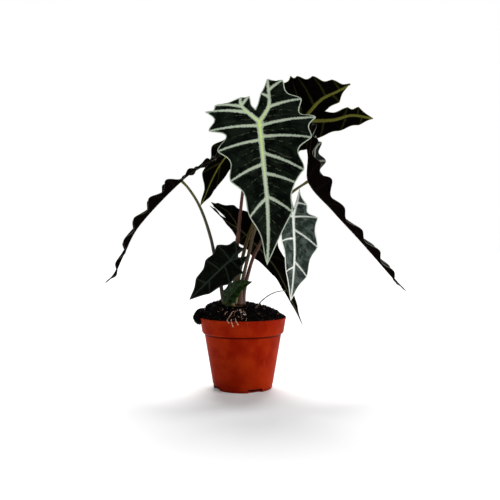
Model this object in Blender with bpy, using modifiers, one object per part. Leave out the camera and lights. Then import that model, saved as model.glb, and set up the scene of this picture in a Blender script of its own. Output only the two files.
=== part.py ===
"""A potted alocasia: a plastic nursery pot of soil, a crown and eight veined leaves on petioles.

Metres, +Z up. The origin is the centre of the pot's base, and the plant faces -Y.
The plant's own points are millimetres from the centre of the pot's mouth.
"""
import bisect
import math

import bmesh
import bpy
from mathutils import Matrix, Vector
from mathutils.bvhtree import BVHTree

OBJECT_NAME = "potted_alocasia"
MM = 0.001

# Pot
POT_RIM_DIAMETER = 0.120
POT_BASE_DIAMETER = 0.084
POT_HEIGHT = 0.098
POT_WALL = 0.0014
POT_FLOOR = 0.0020
RIM_BAND_HEIGHT = 0.0215
RIM_BAND_STEP = 0.0028
RIM_BAND_TAPER = 0.06
LIP_ROLL = 0.0009
FOOT_HEIGHT = 0.0080
FOOT_STEP = 0.0007
NOTCH_WIDTH = 0.0210
NOTCH_HEIGHT = 0.0050
NOTCH_DEPTH = 0.0060
NOTCH_COUNT = 4
FIRST_NOTCH_DEGREES = -65.0
POT_SIDES = 48
SOIL_SIDES = 32

# Soil, crown and what touches
GAP = 0.0003
SOIL_EDGE_BELOW_RIM = 0.0030
SOIL_MOUND = 0.0180
MOUND_LEAN = (-0.45, 0.30)
SOIL_LUMP = 0.0011
SOIL_RING_STEP = 0.0115
CROWN_RADIUS = 0.0150
CROWN_ABOVE_SOIL = 0.0070
CROWN_DEPTH = 0.0160
CROWN_PLACE = (-0.0140, -0.0050)
CROWN_SIDES = 24

# Leaves and petioles
LEAF_THICKNESS = 0.0008
PETIOLE_BASE_RADIUS = 0.0024
PETIOLE_TOP_RADIUS = 0.0013
PETIOLE_SPACING = 0.0180
MARGIN_STEP = 12.0
REACHES = (0, 0.36, 0.7, 1.0)

# Small pieces: angles are degrees round the pot from +X, lengths metres
SHEATH_THICKNESS = 0.0005
SHEATHS = {
    "sheath_front": (-92, 0.0033, 0.020),
    "sheath_right": (18, 0.0033, 0.013),
    "sheath_back": (85, 0.0055, 0.022),
}
SHEATH_TIP = 0.0004
NEW_LEAF_RADIUS = 0.0020
NEW_LEAF_FOOT = (0.0047, -0.0101)
NEW_LEAF_POINTS = [(-7, -19, 37), (-3, -24, 60), (-1, -26, 69)]
SHOOT_RADIUS = 0.0006
SHOOT_FOOT = (0.0150, -0.0100)
SHOOT_POINTS = [(21, -10, 17), (26, -10, 23), (35, -10, 30), (44, -10, 34.5), (53, -10, 36.5),
                (59, -10, 36.5)]
ROOT_RADIUS = 0.0008
ROOTS = [(-104, 0.018, 0.007), (-98, 0.026, 0.004), (-109, 0.012, 0.002)]
BARK_CHIPS = [
    (-20, 0.029, (0.0050, 0.0032, 0.0022)), (-62, 0.016, (0.0042, 0.0030, 0.0020)),
    (40, 0.022, (0.0056, 0.0034, 0.0024)), (130, 0.018, (0.0048, 0.0030, 0.0022)),
]
PERLITE_GRAINS = [
    (-88, 0.010, (0.0030, 0.0028, 0.0024)), (-93, 0.015, (0.0026, 0.0024, 0.0022)),
    (-130, 0.020, (0.0024, 0.0022, 0.0020)), (20, 0.014, (0.0028, 0.0024, 0.0022)),
]
SPILL_DEGREES = 184.0
SPILL_WIDTH = 0.0270
SPILL_OUT = 0.0080
SPILL_IN = 0.0060
SPILL_RISE = 0.0115
SPILL_DROP = 0.0090
SPILL_CORE = (0.0010, 0.0020)
SPILL_ROWS = 10

RIM_RADIUS = POT_RIM_DIAMETER / 2
BASE_RADIUS = POT_BASE_DIAMETER / 2
FOOT_INSIDE = BASE_RADIUS - FOOT_STEP * 2 - POT_WALL
BAND_BOTTOM = POT_HEIGHT - RIM_BAND_HEIGHT
BODY_TOP_RADIUS = RIM_RADIUS * (1 - RIM_BAND_TAPER) - RIM_BAND_STEP
SOIL_EDGE_HEIGHT = POT_HEIGHT - SOIL_EDGE_BELOW_RIM
MOUTH = Vector((0, 0, POT_HEIGHT))

# A leaf drawn flat, in hundredths of its midrib's length, seen from above with its tip down:
# x to the right and y towards the tip, from the point where the petiole joins. Each side lists
# its veins from the tip round to the sinus: the place where the vein leaves a rib, the vein's
# own tip on the margin, and how deep the margin dips between it and the next. The place is 0 at
# the petiole, -1 at the midrib's tip, +1 at the lobe rib's tip and 2 back on its inner side.
FRONT_PATTERN = {
    "midrib": [(0, 0), (1.8, 20), (3.6, 40), (5.3, 61), (5.8, 82), (5, 100)],
    "left_rib": [(0, 0), (-6.3, -5), (-11.5, -9.5), (-13.5, -13), (-13.6, -17.5)],
    "right_rib": [(0, 0), (4.2, -6.3), (6.6, -11), (7.0, -18), (5.6, -31.0)],
    "left": [
        (-1.0, 5, 100, 2.6), (-0.55, -7.0, 68.5, 4.2), (-0.31, -20.3, 45, 5.4),
        (-0.133, -29.4, 24, 10.0), (-0.028, -35.7, 9, 5.2), (0.45, -38.5, -5.5, 2.0),
        (0.70, -31.5, -10.8, 0.6), (1.0, -13.6, -17.5, 0.2), (1.25, -7.0, -18.4, 1.0),
        (2.0, -3.0, -9.0, 0),
    ],
    "right": [
        (-1.0, 5, 100, 0.4), (-0.54, 22.4, 65, 1.7), (-0.38, 24.5, 45.5, 0.5),
        (-0.23, 30.8, 37, 7.0), (-0.11, 36.4, 13.5, 3.5), (-0.028, 39.9, -1.5, 6.6),
        (0.38, 30.0, -15.4, 3.6), (0.75, 16.8, -29.5, 0.4), (1.0, 5.6, -31.0, 0.4),
        (1.4, 0.8, -20.5, 0.4), (2.0, -3.0, -9.0, 0),
    ],
}
BROAD_PATTERN = {
    "midrib": [(0, 0), (0.8, 35), (0.4, 70), (0, 100)],
    "left_rib": [(0, 0), (-8, -9), (-15, -20), (-19, -36)],
    "right_rib": [(0, 0), (8, -9), (15, -20), (18, -35)],
    "left": [
        (-1.0, 0, 100, 1.2), (-0.68, -12, 83, 2.0), (-0.50, -20, 66, 3.0), (-0.34, -26, 48, 4.0),
        (-0.20, -32, 30, 4.6), (-0.09, -36, 12, 4.4), (0.0, -38, -5, 4.0), (0.40, -37, -20, 3.2),
        (0.72, -30, -32, 1.6), (1.0, -19, -36, 0.8), (1.35, -9, -30, 0.8), (2.0, 0, -14, 0),
    ],
    "right": [
        (-1.0, 0, 100, 1.2), (-0.66, 13, 81, 2.0), (-0.48, 21, 64, 3.2), (-0.32, 27, 46, 4.0),
        (-0.19, 33, 28, 4.8), (-0.09, 37, 10, 4.2), (0.0, 39, -6, 4.0), (0.42, 37, -21, 3.2),
        (0.74, 29, -32, 1.6), (1.0, 18, -35, 0.8), (1.35, 8, -29, 0.8), (2.0, 0, -14, 0),
    ],
}
BACK_PATTERN = {
    "midrib": [(0, 0), (0.8, 35), (0.4, 70), (0, 100)],
    "left_rib": [(0, 0), (-3, -9), (-6, -20), (-7, -32), (-13, -44)],
    "right_rib": [(0, 0), (4, -6), (9.5, -16), (11, -27), (12.5, -37)],
    "left": [
        (-1.0, 0, 100, 1.2), (-0.68, -15, 82, 2.0), (-0.50, -22, 62, 3.0), (-0.34, -26, 43, 3.0),
        (-0.20, -27, 26, 3.0), (-0.09, -25, 12, 2.0), (0.0, -19, 2, 1.6), (0.30, -14, -8, 0.8),
        (0.62, -14, -22, 0.8), (0.85, -14.5, -35, 0.4), (1.0, -13.5, -45, 0.6),
        (1.22, -3, -38, 1.6), (1.42, -0.8, -31, 2.0), (2.0, 1.4, -16, 0),
    ],
    "right": [
        (-1.0, 0, 100, 1.2), (-0.66, 12, 80, 2.0), (-0.48, 18, 62, 3.0), (-0.32, 21, 45, 3.6),
        (-0.19, 23, 29, 3.0), (-0.09, 27, 13, 2.4), (0.0, 31.5, 1, 1.6), (0.30, 30, -4.5, 2.4),
        (0.55, 26.5, -15.5, 2.4), (0.80, 20, -27, 1.6), (1.0, 13.5, -37, 1.0),
        (1.35, 4, -27, 0.6), (2.0, 1.4, -16, 0),
    ],
}
SMALL_PATTERN = {
    "midrib": [(0, 0), (1.0, 40), (0.4, 75), (-1.0, 100)],
    "left_rib": [(0, 0), (-4, -10), (-7, -20), (-8, -33)],
    "right_rib": [(0, 0), (2, -10), (4, -20), (5, -36)],
    "left": [
        (-1.0, -1.0, 100, 1.2), (-0.60, -14, 66, 2.4), (-0.26, -23, 32, 3.0),
        (0.0, -29, 2, 4.0), (0.5, -23, -20, 2.2), (1.0, -8, -33, 0.8), (2.0, 0, -12, 0),
    ],
    "right": [
        (-1.0, -1.0, 100, 1.2), (-0.53, 17, 71, 3.0), (-0.15, 29, 37, 2.4),
        (0.0, 30, 0, 4.6), (0.5, 16, -16, 1.6), (1.0, 5, -36, 0.8), (2.0, 0, -12, 0),
    ],
}

# Each leaf in the air. The axis runs from behind the lobes through the petiole's joint to the
# tip. Along it, from 0 at the joint to 1 at the tip, the faces are the way its upper side looks
# and the folds are the degrees that each half rises from the midrib.
LEAVES = {
    "leaf_front": {
        "pattern": FRONT_PATTERN, "width": 0.97, "ruffle": 0.8,
        "axis": [(22, -52, 316), (22, -60, 259), (22, -84, 166), (22, -92, 74)],
        "faces": [(0, (0, -1, 0.3)), (1, (0, -1, 0))],
        "folds": [(0, 6), (1, 10)],
    },
    "leaf_right_small": {
        "pattern": SMALL_PATTERN, "width": 1.0, "ruffle": 0.6,
        "axis": [(71, -34, 178), (67, -42, 137), (67, -50, 85), (64, -52, 26)],
        "faces": [(0, (0.42, -0.9, 0.15)), (1, (0.42, -0.9, 0))],
        "folds": [(0, 24), (1, 24)],
    },
    "leaf_upper_back": {
        "pattern": BACK_PATTERN, "width": 1.0, "ruffle": 1.0,
        "axis": [(168, 34, 308), (87, 45, 283), (30, 70, 272), (-30, 85, 232), (-66, 80, 160)],
        "faces": [(0, (0.15, 0.97, 0.1)), (0.22, (-0.2, 0.3, 0.9)), (1, (-0.85, 0.4, 0.3))],
        "folds": [(-0.4, 4), (1, 8)],
    },
    "leaf_right_long": {
        "pattern": BROAD_PATTERN, "width": 0.80, "ruffle": 1.6,
        "axis": [(92, 0, 242), (91, -4, 190), (126, -6, 147), (163, -8, 106), (205, -10, 57),
                 (225, -10, 36)],
        "faces": [(0, (0.78, -0.10, 0.62)), (1, (0.78, -0.16, 0.62))],
        "folds": [(-0.35, 14), (-0.1, 18), (0.07, 24), (0.2, 14), (0.32, 9), (0.45, 9),
                  (0.6, 12), (0.75, 14), (0.85, 12), (1, 4)],
    },
    "leaf_left_long": {
        "pattern": BROAD_PATTERN, "width": 0.80, "ruffle": 2.0,
        "axis": [(-39, 6, 222), (-85, 0, 191), (-143, -5, 129), (-165, -8, 87), (-177, -9, 61),
                 (-190, -10, 47)],
        "faces": [(0, (-0.72, -0.15, 0.69)), (0.4, (-0.8, -0.17, 0.6)), (1, (-0.9, -0.2, 0.4))],
        "folds": [(-0.3, 0), (-0.05, 1), (0.15, 13), (0.45, 12), (0.75, 7), (1, 0)],
    },
    "leaf_lower_left": {
        "pattern": SMALL_PATTERN, "width": 1.25, "ruffle": 0.8,
        "axis": [(4, -36, 88), (-16, -42, 79), (-41, -54, 57), (-68, -62, 28)],
        "faces": [(0, (-0.2, -0.95, 0.3)), (1, (-0.25, -0.9, 0.3))],
        "folds": [(0, 12), (1, 14)],
    },
    "leaf_young": {
        "pattern": SMALL_PATTERN, "width": 1.10, "ruffle": 0.4,
        "axis": [(-24, -27, 20), (-18, -28, 29), (-5, -32, 43), (13, -31, 51)],
        "faces": [(0, (-0.2, -0.9, 0.3)), (1, (0.1, -0.95, 0.2))],
        "folds": [(0, 14), (1, 10)],
    },
    "leaf_low_back": {
        "pattern": BROAD_PATTERN, "width": 0.62, "ruffle": 1.4,
        "axis": [(-55, 38, 160), (-7, 26, 125), (38, 25, 80), (58, 15, 46), (84, 5, -13)],
        "faces": [(0, (0.1, 0.95, 0.25)), (1, (0.1, 0.98, 0.1))],
        "folds": [(-0.35, 82), (-0.12, 64), (0.1, 52), (0.3, 50), (0.6, 68), (1, 80)],
    },
}

# Each petiole: where it stands on the crown, as an angle and a share of PETIOLE_SPACING out
# from its centre, and the points that it passes on the way to its leaf.
PETIOLES = {
    "leaf_front": (-110, 0.18, [(-11, -10, 52), (-8, -11, 93), (-3, -13, 148), (3, -17, 195),
                                (12, -30, 235)]),
    "leaf_right_small": (-42, 0.75, [(-1, -16, 47), (8, -18, 87), (18, -18, 124),
                                     (38, -22, 148), (57, -28, 150)]),
    "leaf_upper_back": (50, 0.40, [(-6, 1, 52), (2, 3, 93), (13, 8, 127), (35, 16, 192),
                                   (62, 28, 245)]),
    "leaf_right_long": (-15, 0.76, [(4, -7, 47), (14, -6, 82), (26, -5, 106), (44, -5, 142),
                                    (65, -5, 170)]),
    "leaf_left_long": (175, 0.62, [(-29, -5, 34), (-31, -5, 47), (-40, -5, 89), (-45, -4, 111),
                                   (-54, -3, 139), (-64, -2, 161), (-76, -1, 179)]),
    "leaf_lower_left": (-100, 0.66, [(-13, -18, 34), (-9, -21, 52), (-8, -25, 66)]),
    "leaf_young": (-150, 0.66, [(-23.5, -17, 28)]),
    "leaf_low_back": (120, 0.50, [(-18, 4, 50), (-12, 9, 90)]),
}


class Route:
    """A smooth curve through a few points, read by the distance along it."""

    STEPS = 24

    def __init__(self, points):
        self.points = smooth([Vector(point) for point in points], self.STEPS)
        self.marks = [0.0]
        for start, end in zip(self.points, self.points[1:]):
            self.marks.append(self.marks[-1] + (end - start).length)
        self.length = self.marks[-1]

    def at(self, distance):
        """The point at a distance and the direction there; past an end it runs straight on."""
        place = bisect.bisect_right(self.marks, distance)
        index = min(max(place - 1, 0), len(self.points) - 2)
        start, end = self.points[index], self.points[index + 1]
        span = self.marks[index + 1] - self.marks[index]
        direction = (end - start) / span
        return start + direction * (distance - self.marks[index]), direction


def smooth(points, steps):
    """Catmull-Rom curve through the points, with the same number of steps on each stretch."""
    first = points[0] * 2 - points[1]
    last = points[-1] * 2 - points[-2]
    ends = [first] + points + [last]
    curve = []
    for before, start, end, after in zip(ends, ends[1:], ends[2:], ends[3:]):
        for step in range(steps):
            t = step / steps
            bend = before * 2 - start * 5 + end * 4 - after
            twist = start * 3 - before - end * 3 + after
            curve.append((start * 2 + (end - before) * t + bend * t ** 2 + twist * t ** 3) / 2)
    return curve + [points[-1].copy()]


def between(stops, share):
    """The value at a share, eased from one (share, value) stop to the next."""
    if share <= stops[0][0]:
        return stops[0][1]
    for (start, value), (end, following) in zip(stops, stops[1:]):
        if share <= end:
            t = (share - start) / (end - start)
            return value + (following - value) * (t * t * (3 - 2 * t))
    return stops[-1][1]


class Blade:
    """A leaf pattern bent along its axis in the air. Lengths here are metres."""

    RIDGE = 2.0
    BOW = 0.04
    FLAT_END = 8.0

    def __init__(self, name):
        leaf = LEAVES[name]
        pattern = leaf["pattern"]
        self.leaf = leaf
        self.ribs = {rib: Route([(x, y, 0) for x, y in pattern[rib]])
                     for rib in ("midrib", "left_rib", "right_rib")}
        self.sides = {side: pattern[side] for side in ("left", "right")}
        self.axis = Route([MOUTH + Vector(point) * MM for point in leaf["axis"]])
        self.joint = self.axis.marks[Route.STEPS]
        self.unit = (self.axis.length - self.joint) / 100

    def rib_point(self, side, place):
        """The flat point on a rib: midrib below 0, then the lobe's rib out to 1 and back."""
        if place <= 0:
            return self.ribs["midrib"].at(-place * self.ribs["midrib"].length)[0]
        share = place if place <= 1 else 2 - place
        rib = self.ribs[side + "_rib"]
        return rib.at(share * rib.length)[0]

    def margin_point(self, side, place):
        """The flat point on the margin, and how far it is from one vein to the next."""
        veins = self.sides[side]
        index = max(i for i, vein in enumerate(veins[:-1]) if vein[0] <= place + 1e-9)
        vein, following = veins[index], veins[index + 1]
        share = (place - vein[0]) / (following[0] - vein[0])
        share = min(max(share, 0.0), 1.0)
        start, end = Vector((vein[1], vein[2], 0)), Vector((following[1], following[2], 0))
        chord = (end - start).normalized()
        inward = Vector((chord.y, -chord.x, 0)) * (1 if side == "right" else -1)
        dip = vein[3] * math.sin(math.pi * share ** 1.3) ** 1.5
        return start.lerp(end, share) + inward * dip, share

    def in_air(self, flat, lift):
        """The point in the air for a flat point, with a lift along the upper face's normal."""
        distance = self.joint + flat.y * self.unit
        centre, along = self.axis.at(distance)
        face = self.face_at(flat.y / 100, along)
        across = face.cross(along)
        midrib = self.rib_point("left", -min(max(flat.y / 100, 0.0), 1.0)).x
        offset = flat.x - midrib
        fold = math.radians(between(self.leaf["folds"], flat.y / 100))
        rise = math.hypot(offset, self.RIDGE) - self.RIDGE
        sideways = (midrib + offset * math.cos(fold)) * self.leaf["width"]
        upward = rise * math.sin(fold) * self.leaf["width"] + lift
        return centre + (across * sideways + face * upward) * self.unit

    def point(self, side, place, reach):
        """A point of the blade, on the way out from a rib at 0 to the margin at 1."""
        start = self.rib_point(side, place)
        end, share = self.margin_point(side, place)
        ray = end - start
        bow = Vector((0, -1, 0)) * ray.length * self.BOW * math.sin(math.pi * reach)
        spread = min(1.0, ray.length / self.FLAT_END)
        wave = self.leaf["ruffle"] * spread * reach ** 2 * math.cos(2 * math.pi * share)
        return self.in_air(start + ray * reach + bow, wave)

    def places(self, step):
        """The places of the rays on one side: the same on both sides of every rib."""
        veins = [vein[0] for side in self.sides.values() for vein in side]
        midrib = sorted({place for place in veins if place <= 0} | {0.0})
        lobe = sorted({place if place <= 1 else 2 - place for place in veins if place >= 0})
        along = self.divided(midrib, step, mirrored=False)
        out = self.divided([round(share, 4) for share in lobe], step, mirrored=True)
        back = [2 - share for share in reversed(out)]
        return along[:-1] + out + back[1:]

    def divided(self, stops, step, mirrored):
        """The stops with more places between them, so that the margin has one at each step."""
        places = []
        for start, end in zip(stops, stops[1:]):
            pairs = [(start, end)] + ([(2 - end, 2 - start)] if mirrored else [])
            span = max((self.margin_point(side, low)[0] - self.margin_point(side, high)[0]).length
                       for side in self.sides for low, high in pairs)
            count = max(1, round(span / step))
            places += [start + (end - start) * i / count for i in range(count)]
        return places + [stops[-1]]

    def face_at(self, share, along):
        """The upper face's normal at a share of the blade, square to the axis there."""
        face = Vector(between([(stop, Vector(way)) for stop, way in self.leaf["faces"]], share))
        return (face - along * face.dot(along)).normalized()

    def joint_point(self):
        """Where the petiole joins, and the upper face's normal there."""
        centre, along = self.axis.at(self.joint)
        return centre, self.face_at(0, along)


def material(name, colour, roughness):
    made = bpy.data.materials.new(name)
    made.use_nodes = True
    shader = made.node_tree.nodes["Principled BSDF"]
    shader.inputs["Base Color"].default_value = (*colour, 1)
    shader.inputs["Roughness"].default_value = roughness
    shader.inputs["Metallic"].default_value = 0
    return made


def add_object(name, data, made_material, collection):
    made = bpy.data.objects.new(name, data)
    collection.objects.link(made)
    if made_material:
        data.materials.append(made_material)
    return made


def mesh_from(name, builder):
    data = bpy.data.meshes.new(name)
    builder.to_mesh(data)
    builder.free()
    return data


def turned(name, profile, sides, made_material, collection):
    """A profile of (radius, height) points turned about +Z."""
    builder = bmesh.new()
    points = [builder.verts.new((radius, 0, height)) for radius, height in profile]
    for start, end in zip(points, points[1:]):
        builder.edges.new((start, end))
    made = add_object(name, mesh_from(name, builder), made_material, collection)
    screw = made.modifiers.new("Turn", "SCREW")
    screw.steps = sides
    screw.render_steps = sides
    screw.use_merge_vertices = True
    screw.merge_threshold = 0.00001
    return made


def tube(name, route, radii, made_material, collection):
    """A tapering tube along a route, with a point every few radii."""
    data = bpy.data.curves.new(name, "CURVE")
    data.dimensions = "3D"
    data.bevel_depth = radii[0]
    data.bevel_resolution = 2
    data.use_fill_caps = True
    thickest = max(radii)
    count = max(4, min(16, round(route.length / (thickest * 4))))
    spline = data.splines.new("POLY")
    spline.points.add(count - 1)
    for index, point in enumerate(spline.points):
        share = index / (count - 1)
        point.co = (*route.at(share * route.length)[0], 1)
        point.radius = (radii[0] + (radii[1] - radii[0]) * share) / radii[0]
    return add_object(name, data, made_material, collection)


def pot_outside(height):
    """The pot's outer radius below the rim band, at a height."""
    share = (height - FOOT_HEIGHT) / (BAND_BOTTOM - FOOT_HEIGHT)
    return BASE_RADIUS + (BODY_TOP_RADIUS - BASE_RADIUS) * share


def band_outside(height):
    """The rim band's outer radius, which widens a little to the lip."""
    share = (POT_HEIGHT - height) / RIM_BAND_HEIGHT
    return RIM_RADIUS * (1 - RIM_BAND_TAPER * share)


def pot_inside(height):
    """The pot's inner radius at a height, in the body and in the band."""
    if height > BAND_BOTTOM:
        return band_outside(height) - POT_WALL
    return pot_outside(height) - POT_WALL


def make_pot(collection, cutters):
    plastic = material("pot_plastic", (0.50, 0.045, 0.008), 0.42)
    band = band_outside(BAND_BOTTOM)
    step_top = BAND_BOTTOM + RIM_BAND_STEP
    profile = [
        (0, POT_FLOOR),
        (FOOT_INSIDE, POT_FLOOR),
        (FOOT_INSIDE + FOOT_STEP, FOOT_HEIGHT - FOOT_STEP),
        (pot_inside(FOOT_HEIGHT), FOOT_HEIGHT),
        (pot_inside(BAND_BOTTOM), BAND_BOTTOM),
        (pot_inside(step_top), step_top),
        (RIM_RADIUS - POT_WALL, POT_HEIGHT - LIP_ROLL),
        (RIM_RADIUS - POT_WALL / 2, POT_HEIGHT),
        (RIM_RADIUS - POT_WALL / 4, POT_HEIGHT),
        (RIM_RADIUS, POT_HEIGHT - LIP_ROLL),
        (band, BAND_BOTTOM + RIM_BAND_STEP / 4),
        (band - LIP_ROLL / 2, BAND_BOTTOM),
        (BODY_TOP_RADIUS, BAND_BOTTOM - RIM_BAND_STEP / 4),
        (pot_outside(FOOT_HEIGHT), FOOT_HEIGHT),
        (BASE_RADIUS - FOOT_STEP, FOOT_HEIGHT - FOOT_STEP),
        (BASE_RADIUS - FOOT_STEP * 2, FOOT_STEP / 2),
        (BASE_RADIUS - FOOT_STEP * 3, 0),
        (0, 0),
    ]
    pot = turned("nursery_pot", profile, POT_SIDES, plastic, collection)
    for index in range(NOTCH_COUNT):
        angle = math.radians(FIRST_NOTCH_DEGREES + 360 * index / NOTCH_COUNT)
        bpy.ops.mesh.primitive_cube_add(size=1)
        cutter = bpy.context.object
        cutter.name = f"notch_cutter_{index}"
        cutter.dimensions = (NOTCH_DEPTH * 2, NOTCH_WIDTH, NOTCH_HEIGHT * 2)
        cutter.rotation_euler.z = angle
        cutter.location = (BASE_RADIUS * math.cos(angle), BASE_RADIUS * math.sin(angle), 0)
        cutter.users_collection[0].objects.unlink(cutter)
        cutters.objects.link(cutter)
        cutter.display_type = "WIRE"
        cutter.hide_render = True
        cut = pot.modifiers.new(f"Notch {index}", "BOOLEAN")
        cut.operation = "DIFFERENCE"
        cut.solver = "EXACT"
        cut.object = cutter


def mound_height(x, y):
    """The soil's surface without its lumps: a mound that leans to one side of the pot."""
    x, y = x / RIM_RADIUS, y / RIM_RADIUS
    steep = max(0.0, 1 - (x * x + y * y) ** 3)
    return SOIL_EDGE_HEIGHT + SOIL_MOUND * steep * (1 + MOUND_LEAN[0] * x + MOUND_LEAN[1] * y)


def soil_height(x, y):
    """The soil's surface with its soft lumps, which fade out at the pot's wall."""
    inside = min(1.0, max(0.0, (1 - math.hypot(x, y) / RIM_RADIUS) * 4))
    lumps = math.sin(x * 310 + 1.0) * math.cos(y * 270 + 0.4) + 0.6 * math.sin(y * 520 + x * 240)
    return mound_height(x, y) + SOIL_LUMP * lumps * inside


def crown_profile(clearance):
    """The crown's outline, from its top down to its foot in the soil."""
    shoulder = mound_height(*CROWN_PLACE) + clearance
    foot = shoulder - CROWN_DEPTH - clearance * 2
    radius = CROWN_RADIUS + clearance
    dome = [(radius * math.sin(math.radians(a)),
             shoulder + CROWN_ABOVE_SOIL * math.cos(math.radians(a))) for a in (0, 25, 45, 65, 90)]
    return dome + [(radius * 0.92, (shoulder + foot) / 2), (radius * 0.6, foot), (0, foot)]


def crown_top(x, y):
    """The crown's height over a point measured from the crown's centre."""
    share = min(1.0, math.hypot(x, y) / CROWN_RADIUS)
    return mound_height(*CROWN_PLACE) + CROWN_ABOVE_SOIL * math.sqrt(1 - share ** 2)


def make_soil(collection, cutters):
    peat = material("soil_peat", (0.012, 0.008, 0.006), 0.95)
    edge_radius = pot_inside(SOIL_EDGE_HEIGHT) - GAP
    rings = round(edge_radius / SOIL_RING_STEP)
    profile = [(edge_radius * i / rings, SOIL_EDGE_HEIGHT) for i in range(rings + 1)]
    profile += [
        (pot_inside(BAND_BOTTOM + RIM_BAND_STEP) - GAP, BAND_BOTTOM + RIM_BAND_STEP + GAP),
        (pot_inside(BAND_BOTTOM) - GAP, BAND_BOTTOM),
        (pot_inside(FOOT_HEIGHT) - GAP, FOOT_HEIGHT),
        (FOOT_INSIDE + FOOT_STEP - GAP, FOOT_HEIGHT - FOOT_STEP),
        (FOOT_INSIDE - GAP * 2, POT_FLOOR + GAP * 2),
        (0, POT_FLOOR + GAP * 2),
    ]
    shell = turned("soil_shell", profile, SOIL_SIDES, None, cutters)
    data = evaluated_mesh(shell, "potting_soil")
    bpy.data.objects.remove(shell)
    for vertex in data.vertices:
        if vertex.co.z > SOIL_EDGE_HEIGHT - GAP:
            vertex.co.z = soil_height(vertex.co.x, vertex.co.y)
    soil = add_object("potting_soil", data, peat, collection)
    socket = turned("crown_socket", crown_profile(GAP), CROWN_SIDES, None, cutters)
    socket.location = (*CROWN_PLACE, 0)
    socket.display_type = "WIRE"
    socket.hide_render = True
    cut = soil.modifiers.new("Crown socket", "BOOLEAN")
    cut.operation = "DIFFERENCE"
    cut.solver = "EXACT"
    cut.object = socket


def evaluated_mesh(source, name):
    """A plain mesh of what an object shows, with coincident points merged."""
    bpy.context.view_layer.update()
    graph = bpy.context.evaluated_depsgraph_get()
    data = bpy.data.meshes.new_from_object(source.evaluated_get(graph))
    data.name = name
    builder = bmesh.new()
    builder.from_mesh(data)
    bmesh.ops.remove_doubles(builder, verts=builder.verts, dist=0.00001)
    builder.to_mesh(data)
    builder.free()
    return data


def make_crown(collection):
    stem = material("crown_stem", (0.08, 0.05, 0.03), 0.7)
    crown = turned("crown", crown_profile(0), CROWN_SIDES, stem, collection)
    crown.location = (*CROWN_PLACE, 0)


def make_leaf(name, made_material, collection):
    """One blade: rays from the ribs to the margin on each side, made solid by Solidify."""
    blade = Blade(name)
    places = blade.places(MARGIN_STEP)
    builder = bmesh.new()
    for side in ("left", "right"):
        rows = [[builder.verts.new(blade.point(side, place, reach)) for reach in REACHES]
                for place in places]
        for row, following in zip(rows, rows[1:]):
            for a, b, c, d in zip(row, following, following[1:], row[1:]):
                corners = (a, b, c, d) if side == "left" else (d, c, b, a)
                builder.faces.new(corners)
    bmesh.ops.remove_doubles(builder, verts=builder.verts, dist=0.00005)
    bmesh.ops.recalc_face_normals(builder, faces=builder.faces)
    leaf = add_object(name, mesh_from(name, builder), made_material, collection)
    solid = leaf.modifiers.new("Thickness", "SOLIDIFY")
    solid.thickness = LEAF_THICKNESS
    solid.offset = 0


def make_petiole(name, made_material, collection):
    """The stalk of one leaf, from the crown to just under the blade."""
    angle, share, passing = PETIOLES[name]
    x = PETIOLE_SPACING * share * math.cos(math.radians(angle))
    y = PETIOLE_SPACING * share * math.sin(math.radians(angle))
    inward = max(0.0, 1 - PETIOLE_BASE_RADIUS / math.hypot(x, y))
    foot = Vector((CROWN_PLACE[0] + x, CROWN_PLACE[1] + y, crown_top(x * inward, y * inward)))
    foot.z += GAP + PETIOLE_BASE_RADIUS * 0.7
    joint, face = Blade(name).joint_point()
    under = joint - face * (LEAF_THICKNESS / 2 + GAP + PETIOLE_TOP_RADIUS)
    route = Route([foot] + [MOUTH + Vector(point) * MM for point in passing] + [under])
    radii = (PETIOLE_BASE_RADIUS, PETIOLE_TOP_RADIUS)
    tube(name.replace("leaf", "petiole"), route, radii, made_material, collection)


def make_sheath(name, angle, half_width, height, made_material, collection):
    """A dry scale leaf round the foot of the petioles: a curved strip that ends in a point."""
    rows, columns = 5, 4
    radius = CROWN_RADIUS + GAP + SHEATH_THICKNESS
    turn = math.radians(angle)
    soil = mound_height(CROWN_PLACE[0] + radius * math.cos(turn),
                        CROWN_PLACE[1] + radius * math.sin(turn))
    foot = soil + SOIL_LUMP * 1.6 + GAP
    builder = bmesh.new()
    grid = []
    for row in range(rows + 1):
        up = row / rows
        half = (half_width * (1 - up ** 2) + SHEATH_TIP) / radius
        line = []
        for column in range(columns + 1):
            turn = math.radians(angle) + half * (2 * column / columns - 1)
            x = CROWN_PLACE[0] + radius * math.cos(turn)
            y = CROWN_PLACE[1] + radius * math.sin(turn)
            line.append(builder.verts.new((x, y, foot + height * up)))
        grid.append(line)
    for low, high in zip(grid, grid[1:]):
        for a, b, c, d in zip(low, low[1:], high[1:], high):
            builder.faces.new((a, b, c, d))
    sheath = add_object(name, mesh_from(name, builder), made_material, collection)
    solid = sheath.modifiers.new("Thickness", "SOLIDIFY")
    solid.thickness = SHEATH_THICKNESS
    solid.offset = 0


def make_root(name, angle, reach, drop, made_material, collection):
    """A surface root that runs over the pot's lip and hangs outside it."""
    turn = math.radians(angle)

    def place(radius, height, sway=0.0):
        """A point round the pot, swayed sideways."""
        across = turn + sway / RIM_RADIUS
        return Vector((radius * math.cos(across), radius * math.sin(across), height))

    clear = ROOT_RADIUS + GAP
    inner = RIM_RADIUS - reach
    on_soil = soil_height(*place(inner, 0).xy) + clear + SOIL_LUMP
    over = POT_HEIGHT + clear + ROOT_RADIUS
    outside = RIM_RADIUS + clear + ROOT_RADIUS
    route = Route([
        place(inner, on_soil, 0.002),
        place(RIM_RADIUS - POT_WALL * 3, max(over, on_soil - reach * 0.2), -0.001),
        place(outside - ROOT_RADIUS / 2, over - ROOT_RADIUS / 2),
        place(outside + ROOT_RADIUS / 2, POT_HEIGHT - drop, 0.003),
    ])
    tube(name, route, (ROOT_RADIUS, ROOT_RADIUS * 0.6), made_material, collection)


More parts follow.
